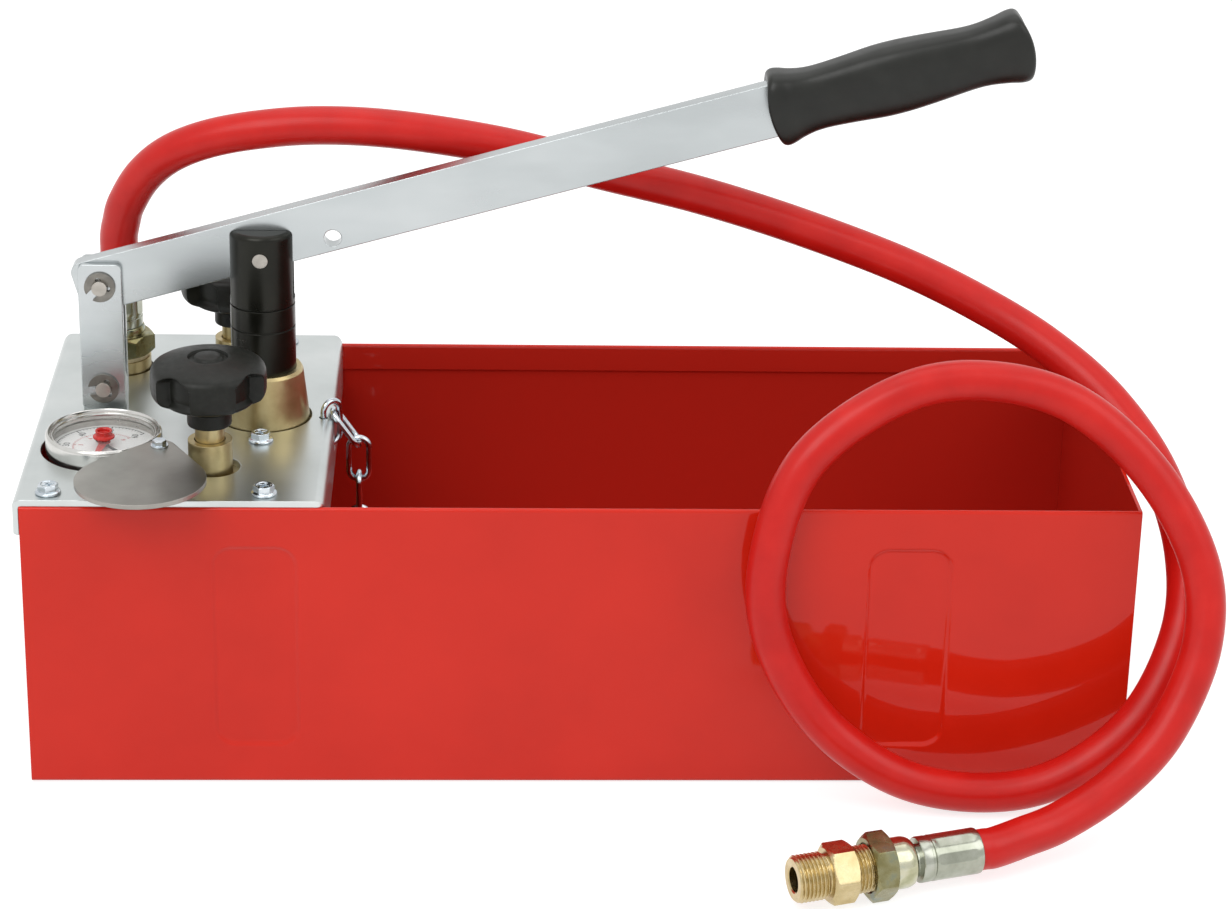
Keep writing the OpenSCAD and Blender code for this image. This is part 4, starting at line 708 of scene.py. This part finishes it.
def numbers(words, radius, size):
    # each number becomes a flat mesh, upright towards the top of the dial
    made = []
    upAngle = radians(dial["zero"] + (360 - dial["sweep"]) / 2 - 180)
    upWay = np.array((cos(upAngle), sin(upAngle), 0))
    rightWay = np.array((sin(upAngle), -cos(upAngle), 0))
    spots = dialPlace + radius * dialWays(np.arange(len(words)) / (len(words) - 1))[0]
    for word, spot in zip(words, spots):
        text = bpy.data.curves.new("number", "FONT")
        text.body, text.size, text.align_x, text.align_y = word, size, "CENTER", "CENTER"
        text.resolution_u = 3
        holder = bpy.data.objects.new("number", text)
        scene.collection.objects.link(holder)
        flat = bpy.data.meshes.new_from_object(holder.evaluated_get(bpy.context.evaluated_depsgraph_get()))
        flatPoints = np.zeros(len(flat.vertices) * 3)
        flat.vertices.foreach_get("co", flatPoints)
        flatPoints = flatPoints.reshape(-1, 3)
        made.append((spot + flatPoints[:, :1] * rightWay + flatPoints[:, 1:2] * upWay,
                     [list(face.vertices) for face in flat.polygons]))
        bpy.data.objects.remove(holder)
        bpy.data.curves.remove(text)
        bpy.data.meshes.remove(flat)
    return made


def slab(points, faces):
    # flat faces become a thin closed layer of ink
    area = sum(np.cross(points[face], np.roll(points[face], -1, axis=0))[:, 2].sum() for face in faces)
    layer = faces if area > 0 else [face[::-1] for face in faces]
    count = len(points)
    edges = {pair for face in layer for pair in zip(face, face[1:] + face[:1])}
    rim = [[a, b, b + count, a + count] for a, b in sorted(edges) if (b, a) not in edges]
    top = [[k + count for k in face] for face in layer]
    return np.concatenate([points, points + (0, 0, dial["ink"])]), [face[::-1] for face in layer] + top + rim


for color, unit, slotName in (("black", 10, "dial_white"), ("red", 1, "marker_red")):
    scale = dial[color]
    flats = [ticks(dial[kind], *scale[kind]) for kind in ("minor", "major")]
    if "ring" in scale:
        flats.append(ringBand(*scale["ring"]))
    flats += numbers([str(unit * k) for k in range(dial["major"] + 1)], *scale["numbers"])
    piece("dial_print_" + color, [slab(*flat) for flat in flats], "base", color + " ink", slotName)
print("dial printed")

# pale floor: white to the camera and in reflections, while it keeps a soft shadow; lengths in metres, tooth in
# millimetres
floor = {"half": 6.0, "low": -0.0004, "bounce": ("#e6e6e6", "#e8e8e8"), "tooth": 40, "shown": "#b4b4b4", "glow": 0.78}
mesh = bpy.data.meshes.new("floor")
corners = [(floor["half"] * i, floor["half"] * j, floor["low"]) for i, j in ((-1, -1), (1, -1), (1, 1), (-1, 1))]
mesh.from_pydata(corners, [], [(0, 1, 2, 3)])
floorPiece = bpy.data.objects.new("floor", mesh)
scene.collection.objects.link(floorPiece)


def seenRays(tree):
    # one for rays that show the background: from the camera, in reflections and through glass
    path = addNode(tree, "LightPath").outputs
    pair = addNode(tree, "Math", {0: path["Is Camera Ray"], 1: path["Is Glossy Ray"]}, operation="MAXIMUM")
    return addNode(tree, "Math", {0: pair.outputs[0], 1: path["Is Transmission Ray"]}, operation="MAXIMUM").outputs[0]


# studio paper: matt white, with a glow on the rays that show it
paper = bpy.data.materials.new("studio paper")
paper.use_nodes = True
tree = paper.node_tree
tree.nodes.clear()
seen = seenRays(tree)
place = addNode(tree, "TexCoord").outputs["Object"]
tooth = shades(tree, noise(tree, place, floor["tooth"], pattern["roughDetail"]), floor["bounce"])
tint = addNode(tree, "MixRGB", {"Fac": seen, "Color1": tooth, "Color2": linear(floor["shown"])}).outputs["Color"]
matte = addNode(tree, "BsdfDiffuse", {"Color": tint}).outputs["BSDF"]
strength = addNode(tree, "Math", {0: seen, 1: floor["glow"]}, operation="MULTIPLY").outputs[0]
glow = addNode(tree, "Emission", {"Strength": strength}).outputs["Emission"]
both = addNode(tree, "AddShader", {0: matte, 1: glow}).outputs["Shader"]
addNode(tree, "OutputMaterial", {"Surface": both})
mesh.materials.append(paper)

# soft studio light: a white surround and three large softboxes, each with its place and size in metres and its power
light = {"surround": 0.62, "shown": 1.0, "aim": (0, -0.05, 0.1),
         "boxes": [("key", (-0.9, -1.5, 2.1), 1.6, 24), ("fill", (1.4, -0.9, 1.6), 1.4, 9),
                   ("top", (0.1, 0.5, 2.3), 1.8, 8)]}
world = bpy.data.worlds.new("studio")
scene.world = world
world.use_nodes = True
tree = world.node_tree
tree.nodes.clear()
seen = seenRays(tree)
lit, white = (addNode(tree, "Background", {"Color": (1, 1, 1, 1), "Strength": light[key]}).outputs["Background"]
              for key in ("surround", "shown"))
mixed = addNode(tree, "MixShader", {0: seen, 1: lit, 2: white}).outputs["Shader"]
addNode(tree, "OutputWorld", {"Surface": mixed})
for name, place, size, power in light["boxes"]:
    lamp = bpy.data.lights.new(name, "AREA")
    lamp.shape, lamp.size, lamp.energy = "SQUARE", size, power
    holder = bpy.data.objects.new(name, lamp)
    scene.collection.objects.link(holder)
    holder.location = place
    holder.rotation_euler = (Vector(light["aim"]) - Vector(place)).to_track_quat("-Z", "Y").to_euler()
print("lit")
